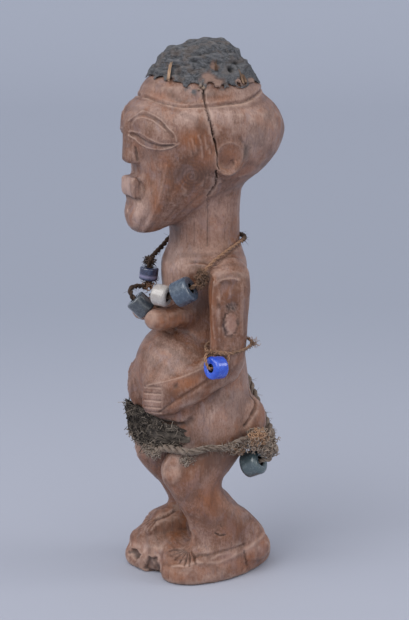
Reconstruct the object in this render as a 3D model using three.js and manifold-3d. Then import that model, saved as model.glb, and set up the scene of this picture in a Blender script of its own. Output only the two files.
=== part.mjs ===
// Standing wood figure with a beaded necklace, an arm cord and a rope round the hips.
// Millimetres, +Z up. The figure looks along -Y and its left arm is on the +X side.
// The origin is on the flat underside of the base, below the neck.

import * as THREE from 'three';
import { mergeVertices } from 'three/addons/utils/BufferGeometryUtils.js';
import Module from 'manifold-3d';

const wasm = await Module();
wasm.setup();

// Driving heights above the ground
const BASE_TOP = 7;
const KNEE = 44;
const HIP = 58;
const NAVEL = 75;
const BREAST = 108;
const SHOULDER = 125;
const CHIN = 139;
const MOUTH = 156.5;
const EAR = 168;
const EYE = 177;
const CAP = 190;
const TOP = 210;

// Driving widths and depths
const HEAD_HALF = 25.2;
const NECK_RADIUS = 13.6;
const NOSE_FRONT = -33.2;
const LEG_OUT = 12;
const ARM_OUT = 22.6;
const GAP = 0.35;

// Cords and beads
const NECKLACE_RADIUS = 0.9;
const ARM_CORD_RADIUS = 0.65;
const WAIST_CORD_RADIUS = 1.55;
const CORD_SIDES = 6;
const BEAD_SIDES = 10;

// Materials as the wood, resin, fibre, hide and glass look from a step away
const wood = new THREE.MeshStandardMaterial({ color: 0x8c6450, roughness: 0.55, metalness: 0 });
const resin = new THREE.MeshStandardMaterial({ color: 0x35383d, roughness: 0.85, metalness: 0 });
const sliver = new THREE.MeshStandardMaterial({ color: 0xa97e58, roughness: 0.7, metalness: 0 });
const fibre = new THREE.MeshStandardMaterial({ color: 0x7a5f47, roughness: 0.9, metalness: 0 });
const hide = new THREE.MeshStandardMaterial({ color: 0x3a352f, roughness: 0.95, metalness: 0 });
const glass = (color) => new THREE.MeshStandardMaterial({ color, roughness: 0.25, metalness: 0 });

// Solids: every closed geometry becomes one for joining and cutting

function solidOf(geometry) {
  const bare = new THREE.BufferGeometry();
  bare.setAttribute('position', geometry.getAttribute('position').clone());
  if (geometry.index) bare.setIndex(geometry.index.clone());
  const merged = mergeVertices(bare, 1e-3);
  const corners = merged.index.array;
  const faces = [];
  for (let i = 0; i < corners.length; i += 3) {
    const [a, b, c] = [corners[i], corners[i + 1], corners[i + 2]];
    if (a !== b && b !== c && c !== a) faces.push(a, b, c);
  }
  const points = Float32Array.from(merged.getAttribute('position').array);
  if (volumeOf(points, faces) < 0) faces.reverse();
  return new wasm.Manifold(
    new wasm.Mesh({ numProp: 3, vertProperties: points, triVerts: Uint32Array.from(faces) }));
}

function volumeOf(points, faces) {
  const corner = (i) => new THREE.Vector3().fromArray(points, 3 * i);
  let six = 0;
  for (let i = 0; i < faces.length; i += 3) {
    six += corner(faces[i]).dot(corner(faces[i + 1]).cross(corner(faces[i + 2])));
  }
  return six / 6;
}

function geometryOf(solid) {
  const mesh = solid.getMesh();
  const geometry = new THREE.BufferGeometry();
  const points = new Float32Array(mesh.numVert * 3);
  for (let i = 0; i < mesh.numVert; i++) {
    for (let k = 0; k < 3; k++) points[3 * i + k] = mesh.vertProperties[i * mesh.numProp + k];
  }
  geometry.setAttribute('position', new THREE.BufferAttribute(points, 3));
  geometry.setIndex(Array.from(mesh.triVerts));
  geometry.computeVertexNormals();
  return geometry;
}

const fuse = (solids) => solids.reduce((whole, next) => whole.add(next));

// Closed skins through a stack of rings

function loft(rings) {
  const sides = rings[0].length;
  const points = rings.flat();
  const faces = [];
  for (let k = 0; k + 1 < rings.length; k++) {
    for (let i = 0; i < sides; i++) {
      const a = k * sides + i;
      const b = k * sides + (i + 1) % sides;
      faces.push(a, b, b + sides, a, b + sides, a + sides);
    }
  }
  const middle = (ring) => ring.reduce((sum, p) => sum.add(p), new THREE.Vector3()).divideScalar(sides);
  const last = (rings.length - 1) * sides;
  points.push(middle(rings[0]), middle(rings[rings.length - 1]));
  for (let i = 0; i < sides; i++) {
    const j = (i + 1) % sides;
    faces.push(j, i, points.length - 2, last + i, last + j, points.length - 1);
  }
  const geometry = new THREE.BufferGeometry().setFromPoints(points);
  geometry.setIndex(faces);
  return solidOf(geometry);
}

const power = (value, exponent) => Math.sign(value) * Math.abs(value) ** exponent;

// A level ring: front and back reach, half width, where it is widest, and how square its front is
function levelRing(row, sides) {
  const { z, front, back, half } = row;
  const { mid = 0, out = 0, square = 2, sag = 0 } = row;
  const ring = [];
  for (let i = 0; i < sides; i++) {
    const angle = (2 * Math.PI * i) / sides;
    const across = Math.cos(angle);
    const along = Math.sin(angle);
    const n = along < 0 ? square : 2;
    const reach = along < 0 ? mid - front : back - mid;
    const x = out + half * power(across, 2 / n);
    const y = mid + reach * power(along, 2 / n);
    ring.push(new THREE.Vector3(x, y, z - sag * across * across));
  }
  return ring;
}

const levelLoft = (rows, sides) => loft(rows.map((row) => levelRing(row, sides)));

function ball(x, y, z, rx, ry, rz, sides) {
  const sphere = new THREE.SphereGeometry(1, sides, Math.round(sides * 0.6));
  sphere.rotateX(Math.PI / 2);
  sphere.scale(rx, ry, rz);
  sphere.translate(x, y, z);
  return solidOf(sphere);
}

// A rod with rounded ends from one point to another, flattened by `flat` along the third axis
function bullet(from, to, radius, flat = 1, sides = 8) {
  const along = to.clone().sub(from);
  const length = along.length();
  const profile = [new THREE.Vector2(0, -radius)];
  for (const turn of [-0.7, 0]) {
    profile.push(new THREE.Vector2(radius * Math.cos(turn), radius * Math.sin(turn)));
  }
  for (const turn of [0, 0.7]) {
    profile.push(new THREE.Vector2(radius * Math.cos(turn), length + radius * Math.sin(turn)));
  }
  profile.push(new THREE.Vector2(0, length + radius));
  const rod = new THREE.LatheGeometry(profile, sides);
  rod.scale(1, 1, flat);
  rod.applyQuaternion(new THREE.Quaternion().setFromUnitVectors(
    new THREE.Vector3(0, 1, 0), along.normalize()));
  rod.translate(from.x, from.y, from.z);
  return solidOf(rod);
}

const at = (x, y, z) => new THREE.Vector3(x, y, z);

// Base: a heart-like mound, highest under the right foot, with a notch between its two front lobes
// and broken places beside it

function makeBase() {
  const half = 19;
  const depth = 29;
  const outline = [
    [0.1, -0.66], [0.3, -0.74], [0.62, -0.72], [0.92, -0.5], [1.0, -0.14], [0.93, 0.2],
    [0.66, 0.58], [0.3, 0.9], [-0.2, 1.06], [-0.62, 0.94], [-0.95, 0.55], [-1.08, 0],
    [-1.1, -0.6], [-0.94, -0.95], [-0.5, -0.93], [-0.12, -0.86],
  ].map(([x, y]) => at(x * half, y * depth, 0));
  const curve = new THREE.CatmullRomCurve3(outline, true, 'centripetal');
  const edge = curve.getPoints(32).slice(0, -1);
  const crest = at(-9, -9, 0);
  const levels = [
    [0, 0.96], [1.2, 1], [BASE_TOP - 1, 1], [BASE_TOP, 0.96], [10.2, 0.88], [12.8, 0.64], [14, 0.3],
  ];
  const mound = loft(levels.map(([level, size]) => edge.map((p) => {
    const point = size < 0.9 ? crest.clone().lerp(p, size) : p.clone().multiplyScalar(size);
    const lean = level > BASE_TOP ? THREE.MathUtils.clamp(1 - point.x / 13, 0.2, 1.7) : 1;
    return point.setZ(BASE_TOP + (level - BASE_TOP) * lean);
  })));
  const chips = [
    ball(-9.5, -28.5, 5.4, 4.6, 3.6, 3.2, 8),
    ball(-1, -26.6, 3.4, 4.4, 3.6, 4.6, 8),
    ball(3, -23.6, 3, 1.8, 5.5, 9, 8),
  ];
  return chips.reduce((whole, chip) => whole.subtract(chip), mound);
}

// Legs: bent, with the knees forward and the heels at the back, the right knee higher

function makeLeg(side) {
  const left = [
    { z: 6, front: -12, back: 21, half: 8.2, out: 9.4 },
    { z: 12, front: -11, back: 22.6, half: 8.4, out: 9.8 },
    { z: 18, front: -10.4, back: 20.6, half: 8, out: 10.4 },
    { z: 25, front: -12.6, back: 14.8, half: 7.6, out: 11.4 },
    { z: 32, front: -16.6, back: 5.8, half: 7.4, out: LEG_OUT },
    { z: 37, front: -19.6, back: 2, half: 7.6, out: LEG_OUT },
    { z: 41, front: -22, back: 1.6, half: 8.2, out: LEG_OUT },
    { z: KNEE, front: -23.6, back: 4.6, half: 8.8, out: LEG_OUT },
    { z: 48, front: -23.4, back: 8.2, half: 9.4, out: 11.8 },
    { z: 54, front: -20.4, back: 13.4, half: 10, out: 11 },
    { z: 61, front: -13, back: 14, half: 9, out: 10 },
  ];
  const right = [
    { z: 8, front: -12, back: 20, half: 8.2, out: 9.4 },
    { z: 14, front: -11, back: 22, half: 8.4, out: 9.8 },
    { z: 20, front: -10.4, back: 20, half: 8, out: 10.4 },
    { z: 26.6, front: -10.6, back: 14.8, half: 7.6, out: 11.4 },
    { z: 33, front: -13.8, back: 7, half: 7.4, out: LEG_OUT },
    { z: 38, front: -18.6, back: 3, half: 7.6, out: LEG_OUT },
    { z: 43, front: -22.4, back: 2, half: 8.2, out: LEG_OUT },
    { z: KNEE + 4, front: -25.2, back: 4.6, half: 8.8, out: LEG_OUT },
    { z: 52, front: -25, back: 8.6, half: 9.4, out: 11.8 },
    { z: 56, front: -21.6, back: 13, half: 10, out: 11 },
    { z: 61, front: -13, back: 14, half: 9, out: 10 },
  ];
  return levelLoft((side > 0 ? left : right).map((row) => (
    { ...row, out: side * row.out, mid: (row.front + row.back) / 2 })), 14);
}

// Feet: broad wedges with five toes that fan out, the right one higher and further on

function makeFoot(side) {
  const left = [
    { y: 23, out: 9.4, half: 4.2, top: 13.4, sole: 10.6 },
    { y: 15, out: 9.8, half: 8, top: 17, sole: 11.6 },
    { y: 0, out: 10, half: 8.2, top: 18.4, sole: 12 },
    { y: -8, out: 10, half: 8.4, top: 15.6, sole: 10.6 },
    { y: -11.6, out: 9.8, half: 8, top: 12.4, sole: 9.2 },
    { y: -13.8, out: 9.6, half: 6.8, top: 9.8, sole: 8 },
  ];
  const right = [
    { y: 22, out: 9.4, half: 4.2, top: 14.4, sole: 11.6 },
    { y: 14, out: 9.8, half: 8, top: 19, sole: 13 },
    { y: 0, out: 10.6, half: 8.2, top: 22.4, sole: 16 },
    { y: -10, out: 11.4, half: 8.2, top: 24.4, sole: 18 },
    { y: -16.4, out: 12, half: 7.6, top: 21.8, sole: 17 },
    { y: -19.4, out: 12, half: 6.4, top: 18.2, sole: 15.4 },
  ];
  const rows = side > 0 ? left : right;
  const sides = 12;
  const floor = 4;
  const rings = rows.map(({ y, out, half, top, sole }) => {
    const ring = [];
    for (let i = 0; i < sides; i++) {
      const angle = (2 * Math.PI * i) / sides;
      const up = Math.sin(angle);
      const reach = up > 0 ? top - sole : sole - floor;
      ring.push(at(side * (out + half * power(Math.cos(angle), up > 0 ? 1 : 0.5)), y, sole + reach * up));
    }
    return ring;
  });
  const front = rows[rows.length - 1];
  const parts = [loft(rings)];
  for (let toe = 0; toe < 5; toe++) {
    const turn = (toe - 1) * 0.18;
    const reach = 4.8 - toe * 0.3;
    const root = at(front.out - 5 + toe * 2.6, front.y + 2.6 + 0.3 * toe * toe, front.top + 0.6);
    const tip = at(root.x + reach * Math.sin(turn), root.y - reach * Math.cos(turn), front.sole + 0.8);
    parts.push(bullet(root.multiply(at(side, 1, 1)), tip.multiply(at(side, 1, 1)), 1.6, 1, 5));
  }
  return fuse(parts);
}

// Trunk: a column from the hips to the neck, with the belly, breasts and buttocks on it

function makeTrunk() {
  const column = levelLoft([
    { z: 50, front: -12, back: 9, half: 17, mid: 0 },
    { z: HIP, front: -19, back: 15, half: 20.4, mid: 0, square: 2.8 },
    { z: 66, front: -20.2, back: 17.2, half: 20.4, mid: 0, square: 2.8 },
    { z: 74, front: -17, back: 17.6, half: 19.6, mid: 0, square: 2.3 },
    { z: 82, front: -16, back: 16.6, half: 18.2, mid: 0 },
    { z: 92, front: -15, back: 15.6, half: 15.2, mid: 0 },
    { z: BREAST, front: -15.4, back: 15.8, half: 14.8, mid: 0 },
    { z: 118, front: -16.6, back: 16, half: 17.2, mid: 0 },
    { z: SHOULDER, front: -16.6, back: 15.6, half: 20.4, mid: 1 },
    { z: 129.5, front: -15, back: 14.6, half: 16.8, mid: 1 },
    { z: 134, front: -13.4, back: 13.6, half: NECK_RADIUS - 0.2, mid: 0 },
  ], 24);
  const belly = ball(0, -9.5, 82.5, 20.4, 18.8, 20.6, 16);
  const underside = ball(0, -9.8, 69.5, 19.4, 15.8, 10, 12);
  const pairs = [-1, 1].flatMap((side) => [makeBreast(side), makeButtock(side)]);
  return fuse([column, belly, underside, ...pairs]);
}

function makeBreast(side) {
  const tip = side > 0 ? -24.8 : -22.6;
  const from = at(side * 9, -10, BREAST - 0.8);
  const to = at(side * (side > 0 ? 9.8 : 8.8), tip, BREAST - 1.7);
  return bullet(from, to, 4.7, 1, 10);
}

function makeButtock(side) {
  return ball(side * 9.2, 11.4, HIP + 5, 9.4, 11, 10.6, 12);
}

// Arms: the upper arm hangs clear of the ribs, the forearm and hand lie on the belly

function makeArm(side) {
  const rows = [
    { z: 83, front: -6, back: 4.4, half: 3.2, out: 20.4 },
    { z: 89, front: -8, back: 6.8, half: 4.6, out: 22.2 },
    { z: 100, front: -8, back: 7.6, half: 4.9, out: ARM_OUT },
    { z: 112, front: -8.2, back: 8.4, half: 4.9, out: ARM_OUT },
    { z: 119, front: -8.4, back: 9.4, half: 5.6, out: 22 },
    { z: SHOULDER, front: -8, back: 9.6, half: 6.4, out: 19.8 },
    { z: 129.6, front: -3, back: 6.6, half: 4, out: 16 },
  ];
  const upper = levelLoft(rows.map((row) => ({ ...row, out: side * row.out })), 12);
  const path = [
    { x: 19.6, y: 4.4, z: 89.4, thick: 4, tall: 7 },
    { x: 21.4, y: -3.6, z: 88.2, thick: 4.2, tall: 8.6 },
    { x: 20.4, y: -11.6, z: 83.4, thick: 4, tall: 8.4 },
    { x: 17, y: -19, z: 78.8, thick: 3.6, tall: 7.8 },
    { x: 13, y: -23.4, z: NAVEL + 2, thick: 3.2, tall: 7.8 },
    { x: 8.4, y: -25.8, z: NAVEL + 1.4, thick: 3.2, tall: 7.8 },
    { x: 4.8, y: -26.8, z: NAVEL + 1.2, thick: 2.6, tall: 7.4 },
  ];
  const rings = path.map((here, k) => {
    const next = path[Math.min(k + 1, path.length - 1)];
    const prev = path[Math.max(k - 1, 0)];
    const ahead = at(next.x - prev.x, next.y - prev.y, 0).normalize();
    const outward = at(-ahead.y, ahead.x, 0);
    const ring = [];
    for (let i = 0; i < 10; i++) {
      const angle = (2 * Math.PI * i) / 10;
      const point = at(here.x, here.y, here.z + here.tall * power(Math.sin(angle), 0.8));
      point.addScaledVector(outward, here.thick * Math.cos(angle));
      ring.push(at(side * point.x, point.y, point.z));
    }
    return ring;
  });
  const grooves = [];
  for (let groove = 0; groove < 4; groove++) {
    const z = NAVEL - 3 + groove * 2.9;
    grooves.push(bullet(at(side * 12.4, -27.6, z), at(side * 3, -31, z), 0.75, 1, 4));
  }
  return grooves.reduce((whole, groove) => whole.subtract(groove), fuse([upper, loft(rings)]));
}

// Head: a round skull behind a narrow wedge of a face, cut off by the cap band above

function makeHead() {
  const skull = levelLoft([
    { z: CHIN - 0.4, front: -28.4, back: -20, half: 4, mid: -25, square: 2.2, sag: 0 },
    { z: 141.2, front: -31.2, back: -14, half: 7.6, mid: -22, square: 2.3, sag: 0 },
    { z: 145.6, front: -32, back: 0, half: 11.4, mid: -17.5, square: 2.5, sag: 0 },
    { z: 150.6, front: -30, back: 9, half: 15.4, mid: -12, square: 2.7, sag: 0 },
    { z: MOUTH, front: -28.2, back: 16.6, half: 18.8, mid: -8, square: 2.5, sag: 0 },
    { z: 161.5, front: -27.9, back: 23.6, half: 21.6, mid: -4, square: 2.25, sag: 0 },
    { z: 167, front: -28.6, back: 28.6, half: 23.6, mid: -1, square: 2.35, sag: 0 },
    { z: 172.5, front: -29.8, back: 31.2, half: 24.8, mid: 0, square: 2.4, sag: 0 },
    { z: EYE + 0.6, front: -31, back: 31.6, half: HEAD_HALF, mid: 1, square: 2.4, sag: 0 },
    { z: 182.4, front: -31.8, back: 29.8, half: 24.8, mid: 1, square: 2.3, sag: 0 },
    { z: 186.4, front: -29.4, back: 26.6, half: 23.6, mid: 0, square: 2.2, sag: 1.2 },
    { z: CAP - 0.2, front: -25.2, back: 22.4, half: 21.4, mid: 0, square: 2.1, sag: 2.8 },
  ], 28);
  const neck = levelLoft([
    { z: 126, front: -NECK_RADIUS, back: NECK_RADIUS, half: NECK_RADIUS, mid: 0 },
    { z: 145, front: -NECK_RADIUS, back: NECK_RADIUS, half: NECK_RADIUS, mid: 0 },
    { z: 160, front: -NECK_RADIUS, back: NECK_RADIUS + 1.2, half: NECK_RADIUS + 1, mid: 0 },
  ], 18);
  const parts = [skull, neck, makeNose(), makeMouth(), capSolid(0)];
  for (const side of [-1, 1]) parts.push(makeEye(side), makeEar(side));
  return fuse(parts);
}

// The band of wood that rises from the head into the resin, larger by `extra` all over
function capSolid(extra) {
  return levelLoft([
    { z: 184, front: -23 - extra, back: 21 + extra, half: 19.8 + extra, sag: 2.6, square: 2.1 },
    { z: CAP - 0.6, front: -25.4 - extra, back: 22.2 + extra, half: 21 + extra, sag: 2.6, square: 2.1 },
    { z: CAP + 3.4, front: -24.4 - extra, back: 21.2 + extra, half: 20.2 + extra, sag: 1.4, square: 2.1 },
    { z: 196.8 + extra, front: -21.6 - extra, back: 18 + extra, half: 17.6 + extra, sag: 0, square: 2 },
    { z: 199.6 + extra, front: -12 - extra, back: 10 + extra, half: 10 + extra, sag: 0, square: 2 },
  ], 24);
}

function makeNose() {
  const rows = [
    { z: 165.2, tip: NOSE_FRONT + 1.2, root: -27, half: 4.3 },
    { z: 166.6, tip: NOSE_FRONT + 0.2, root: -27, half: 4.4 },
    { z: 172, tip: NOSE_FRONT, root: -27.5, half: 3 },
    { z: 178, tip: NOSE_FRONT, root: -28.5, half: 2.4 },
    { z: 183.5, tip: NOSE_FRONT + 1.2, root: -29.5, half: 3 },
  ];
  return loft(rows.map(({ z, tip, root, half }) => [
    at(half * 0.45, tip, z), at(half, tip + 2.6, z), at(half * 1.25, root, z),
    at(-half * 1.25, root, z), at(-half, tip + 2.6, z), at(-half * 0.45, tip, z),
  ]));
}

// The mouth: a small block with its lower front edge cut back
function makeMouth() {
  const half = 5.6;
  const bevel = 0.4;
  const profile = new THREE.Shape([
    [-25, 159.9], [-31.2, 159.7], [-31.8, 158.8], [-31.8, 155], [-30.5, 151.6], [-28.4, 150.2], [-25, 150.6],
  ].map(([y, z]) => new THREE.Vector2(y, z)));
  const block = new THREE.ExtrudeGeometry(profile, {
    depth: 2 * half - 2 * bevel, bevelThickness: bevel, bevelSize: bevel, bevelSegments: 1,
  });
  block.rotateX(Math.PI / 2);
  block.rotateZ(Math.PI / 2);
  block.translate(-half + bevel, 0, 0);
  return solidOf(block);
}

// An eye: a long leaf with pointed ends, laid on the slope of the face and tipped down outward
function makeEye(side) {
  const long = 11;
  const tall = 6.4;
  const thick = 4.2;
  const profile = [];
  for (let i = 0; i <= 6; i++) {
    const s = -1 + i / 3;
    profile.push(new THREE.Vector2(1 - s * s, s * long));
  }
  const leaf = new THREE.LatheGeometry(profile, 10);
  leaf.scale(thick, 1, tall);
  const outward = at(side * 0.49, -0.872, 0);
  const lengthwise = at(side * 0.83, 0.467, -0.3).normalize();
  const upward = outward.clone().cross(lengthwise);
  leaf.applyMatrix4(new THREE.Matrix4().makeBasis(outward, lengthwise, upward));
  leaf.translate(side * 12.2, -25, EYE + 0.6);
  return solidOf(leaf);
}

// An ear: a raised round rim on the side of the head
function makeEar(side) {
  const rim = new THREE.TorusGeometry(5.5, 1.3, 6, 16);
  rim.scale(1, 1.04, 1);
  rim.rotateY(Math.PI / 2);
  rim.rotateZ(side * 0.06);
  rim.translate(side * (HEAD_HALF - 1.7), -1, EAR);
  return solidOf(rim);
}

const figureSolid = fuse([
  makeBase(), makeTrunk(), makeHead(),
  ...[-1, 1].flatMap((side) => [makeLeg(side), makeFoot(side), makeArm(side)]),
]);
const figureGeometry = geometryOf(figureSolid);

// The dark mass on the head and the slivers of wood stuck in it

function makeResin(pegs) {
  const rows = [
    { z: 194.4, front: -23.2, back: 20.8, half: 19.6 },
    { z: 197, front: -22.4, back: 19.4, half: 18.8 },
    { z: 202, front: -18.2, back: 15.8, half: 15.6 },
    { z: 206.6, front: -13.6, back: 11.6, half: 12 },
    { z: 209, front: -6, back: 9, half: 8 },
    { z: TOP, front: 1, back: 6.6, half: 3.4 },
  ];
  const rings = rows.map((row) => levelRing(row, 18));
  rings[0].forEach((p, i) => {
    const turn = (2 * Math.PI * i) / 18;
    p.z += 0.9 * Math.sin(3 * turn + 1) + 0.8 * Math.sin(7 * turn) - 0.6;
  });
  return [capSolid(GAP), ...pegs].reduce((whole, cut) => whole.subtract(cut), loft(rings));
}

const PEGS = [
  { foot: at(11, -18.8, 197), head: at(7, -16.2, 203.6), radius: 0.6 },
  { foot: at(17.2, -2.8, 200), head: at(14.6, -2.4, 205), radius: 0.6 },
  { foot: at(16.8, 7.4, 197), head: at(14, 6.4, 202), radius: 0.6 },
];
const pegSolid = ({ foot, head, radius }, extra) => bullet(foot, head, radius + extra, 1, 6);

// Beads: short glass tubes with a real bore and rounded edges

function makeBead({ centre, along, outer, bore, long, round }) {
  const half = long / 2;
  const profile = [
    [bore, -half], [outer - round, -half], [outer, -half + round], [outer, half - round],
    [outer - round, half], [bore, half], [bore, -half],
  ].map(([r, h]) => new THREE.Vector2(r, h));
  const tube = new THREE.LatheGeometry(profile, BEAD_SIDES);
  tube.applyQuaternion(new THREE.Quaternion().setFromUnitVectors(at(0, 1, 0), along.clone().normalize()));
  tube.translate(centre.x, centre.y, centre.z);
  return geometryOf(solidOf(tube));
}

const BEADS = {
  grey_blue_bead: {
    centre: at(17.9, -16.5, 118.1), along: at(0.61, 0.63, 0.48), outer: 5, bore: 1.9, long: 7.2,
    round: 0.6, color: 0x4a5c6c,
  },
  white_bead: {
    centre: at(10.6, -22.5, 115.8), along: at(0.76, 0.64, -0.1), outer: 4.1, bore: 1.8, long: 6.4,
    round: 1.3, color: 0xc9c2b6,
  },
  dark_grey_bead: {
    centre: at(0.1, -26.5, 110.2), along: at(-0.29, -0.66, 0.69), outer: 4.1, bore: 1.8, long: 7.4,
    round: 0.5, color: 0x43494e,
  },
  navy_bead: {
    centre: at(-7.4, -20.2, 120.6), along: at(0.05, 0.1, 1), outer: 3.6, bore: 1.6, long: 5,
    round: 0.9, color: 0x2b3350,
  },
  blue_bead: {
    centre: at(30.4, -8.8, 91), along: at(0.27, -0.96, 0.1), outer: 4.3, bore: 1.6, long: 6,
    round: 1.3, color: 0x1f49c8,
  },
  tuft_bead: {
    centre: at(18.4, 12.6, 47.4), along: at(0.71, 0.56, 0.41), outer: 5.1, bore: 1.9, long: 7.8,
    round: 1.7, color: 0x55696b,
  },
};

// Cords: each is tied in a loop, so its tube closes on itself.
// A resting point is set on the wood by a straight look toward the middle of the body.

const figureMesh = new THREE.Mesh(figureGeometry, new THREE.MeshBasicMaterial({ side: THREE.FrontSide }));
figureMesh.updateMatrixWorld(true);

function onWood(point, radius, lean = 0) {
  const outward = at(point.x, point.y, lean * Math.hypot(point.x, point.y)).normalize();
  const start = point.clone().addScaledVector(outward, 25);
  const look = new THREE.Raycaster(start, outward.clone().negate(), 0, 60);
  const hit = look.intersectObject(figureMesh)[0];
  if (!hit) throw new Error('a cord point has no wood below it');
  return hit.point.addScaledVector(hit.face.normal, radius + GAP + 0.75);
}

// Points straight through a bead's bore, in the sense of `way` along its axis
function through({ centre, along, long }, way) {
  const step = along.clone().normalize().multiplyScalar(way * (long / 2 + 0.5));
  return [-1, -0.4, 0.4, 1].map((t) => centre.clone().addScaledVector(step, t));
}

function closedCord(points, radius, steps) {
  const curve = new THREE.CatmullRomCurve3(points, true, 'centripetal');
  return solidOf(new THREE.TubeGeometry(curve, steps, radius, CORD_SIDES, true));
}

function openCord(points, radius, steps) {
  const curve = new THREE.CatmullRomCurve3(points, false, 'centripetal');
  const { normals, binormals } = curve.computeFrenetFrames(steps, false);
  const rings = normals.map((normal, k) => {
    const middle = curve.getPointAt(k / steps);
    return Array.from({ length: CORD_SIDES }, (_, i) => {
      const angle = (2 * Math.PI * i) / CORD_SIDES;
      return middle.clone().addScaledVector(normal, radius * Math.cos(angle))
        .addScaledVector(binormals[k], radius * Math.sin(angle));
    });
  });
  return loft(rings);
}

function makeNecklace() {
  const r = NECKLACE_RADIUS;
  const rest = (x, y, z, lean) => onWood(at(x, y, z), r, lean);
  const route = [
    rest(0, 14.8, 135, 0.4), rest(9, 12, 135, 0.3), rest(14.4, 6, 133, 0.6), rest(18, 0, 129.5, 1),
    at(19.6, -4.8, 129.2), at(20.6, -8.6, 126.4), at(21.4, -11.4, 122.4),
    ...through(BEADS.grey_blue_bead, -1), ...through(BEADS.white_bead, -1),
    at(6.2, -24.6, 114.6), at(4.6, -20.6, 110.6), at(3, -20.2, 106.2),
    ...through(BEADS.dark_grey_bead, 1),
    at(-3.6, -29.4, 115.8), at(-6.4, -25.2, 116.2), at(-8, -21.6, 115.4),
    ...through(BEADS.navy_bead, 1),
    at(-8, -19, 126), rest(-12, -12, 129, 0.6), rest(-12.6, -6, 132, 0.6),
    rest(-13.6, 2, 133.5, 0.8), rest(-9, 13, 133.5, 0.6),
  ];
  return closedCord(route, r, 46);
}

function makeArmCord() {
  const r = ARM_CORD_RADIUS;
  const band = [];
  for (let i = 0; i < 12; i++) {
    const turn = (2 * Math.PI * i) / 12;
    band.push(at(ARM_OUT + 6.15 * Math.cos(turn), 9.1 * Math.sin(turn), 97 - 1.8 * Math.cos(turn + 0.6)));
  }
  const loop = [
    at(25.9, -8.4, 95.8), at(29.6, -12.8, 95.4), ...through(BEADS.blue_bead, -1),
    at(29.2, -3.4, 92.8), at(28.4, -3.2, 95.2),
  ];
  return fuse([closedCord(band, r, 18), closedCord(loop, r * 0.9, 12)]);
}

function makeWaistCord() {
  const r = WAIST_CORD_RADIUS;
  const rest = (x, y, z, lean) => onWood(at(x, y, z), r, lean);
  const route = [
    rest(16, -12.5, 54.6), rest(18, -7, 56), rest(20, -1, 57.4), rest(20.5, 5, 58.4), at(21.8, 11.6, 58),
    at(16.4, 20.8, 57), at(10.2, 23.9, 57), at(5.6, 23.7, 60.4), at(3, 22, 66), at(0.6, 20.4, 71.4),
    rest(-3, 19, 75.4), rest(-9, 17, 76), rest(-16, 10, 74), rest(-21, 0, 69), rest(-20, -8, 63.4),
    at(-17.4, -18.6, 59), at(-12.4, -23.6, 56), at(-6, -25, 54.6), at(0, -24, 53.8), at(6, -23.2, 53.8),
    rest(11.6, -18, 54.2),
  ];
  const hanger = [
    at(22.6, 12.6, 57), at(24, 15.8, 53.6), at(23.6, 17.2, 50), ...through(BEADS.tuft_bead, -1),
  ];
  const knot = ball(22.4, 12, 57.6, 3.4, 6.6, 4.8, 9);
  return fuse([closedCord(route, r, 35), openCord(hanger, r * 0.6, 8), knot]);
}

// A strip of hide over the rope at the front, higher and standing off on the right hip
function makeHideStrip() {
  const thick = 1.2;
  const edges = [
    [at(-22.4, -13.4, 60), at(-23.2, -15.4, 64.4)],
    [at(-18.8, -22.6, 58.6), at(-19.6, -24.2, 66)],
    [at(-12.6, -25.4, 58.6), at(-13.4, -26.2, 67)],
    [at(-5.4, -25.4, 57.2), at(-5.6, -25.4, 66)],
    [at(2, -24.2, 56.6), at(2.4, -23.4, 64)],
    [at(8.6, -22.6, 57.2), at(8.8, -21.8, 63.2)],
    [at(14, -19.2, 58), at(14.4, -18.8, 63.4)],
    [at(18.2, -15, 58.4), at(18.4, -14.8, 61.8)],
  ];
  const rings = edges.map(([low, high], k) => {
    const next = edges[Math.min(k + 1, edges.length - 1)][0];
    const prev = edges[Math.max(k - 1, 0)][0];
    const outward = at(next.y - prev.y, prev.x - next.x, 0).normalize();
    const inner = [0, 0.5, 1].map((t) => low.clone().lerp(high, t));
    const outer = inner.map((p, i) => p.clone().addScaledVector(outward, thick * (i === 1 ? 1.4 : 1)));
    return [...inner, ...outer.reverse()];
  });
  return loft(rings);
}

// Assembly

const object = new THREE.Group();

function place(name, geometry, material) {
  const mesh = new THREE.Mesh(geometry, material);
  mesh.name = name;
  object.add(mesh);
}

place('figure', figureGeometry, wood);
place('resin_crown', geometryOf(makeResin(PEGS.map((peg) => pegSolid(peg, GAP)))), resin);
PEGS.forEach((peg, i) => place(`crown_peg_${i + 1}`, geometryOf(pegSolid(peg, 0)), sliver));
for (const [name, bead] of Object.entries(BEADS)) place(name, makeBead(bead), glass(bead.color));
place('necklace_cord', geometryOf(makeNecklace()), fibre);
place('arm_cord', geometryOf(makeArmCord()), fibre);
place('waist_cord', geometryOf(makeWaistCord()), fibre);
place('hide_strip', geometryOf(makeHideStrip()), hide);

export default object;
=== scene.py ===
"""A carved standing figure in dark wood, with its resin crown, beads, cords and hide strip."""

import math
from typing import NamedTuple

import bmesh
import bpy
import numpy as np
from bpy.props import FloatProperty, FloatVectorProperty, IntProperty, PointerProperty
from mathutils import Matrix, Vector
from mathutils.bvhtree import BVHTree
from mathutils.kdtree import KDTree


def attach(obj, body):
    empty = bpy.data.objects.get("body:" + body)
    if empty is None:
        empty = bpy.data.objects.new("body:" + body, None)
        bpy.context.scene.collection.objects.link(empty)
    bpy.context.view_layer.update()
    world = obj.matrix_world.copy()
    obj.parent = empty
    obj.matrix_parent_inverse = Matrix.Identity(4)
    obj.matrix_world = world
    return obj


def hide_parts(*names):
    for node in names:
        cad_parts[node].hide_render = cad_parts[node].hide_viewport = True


bl_info = {
    "name": "Carved figure",
    "version": (1, 0, 0),
    "blender": (4, 5, 0),
    "location": "3D View > Sidebar > Carved figure",
    "description": "Carves and dresses a small standing wood figure round its packed solids",
    "category": "Object",
}

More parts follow.
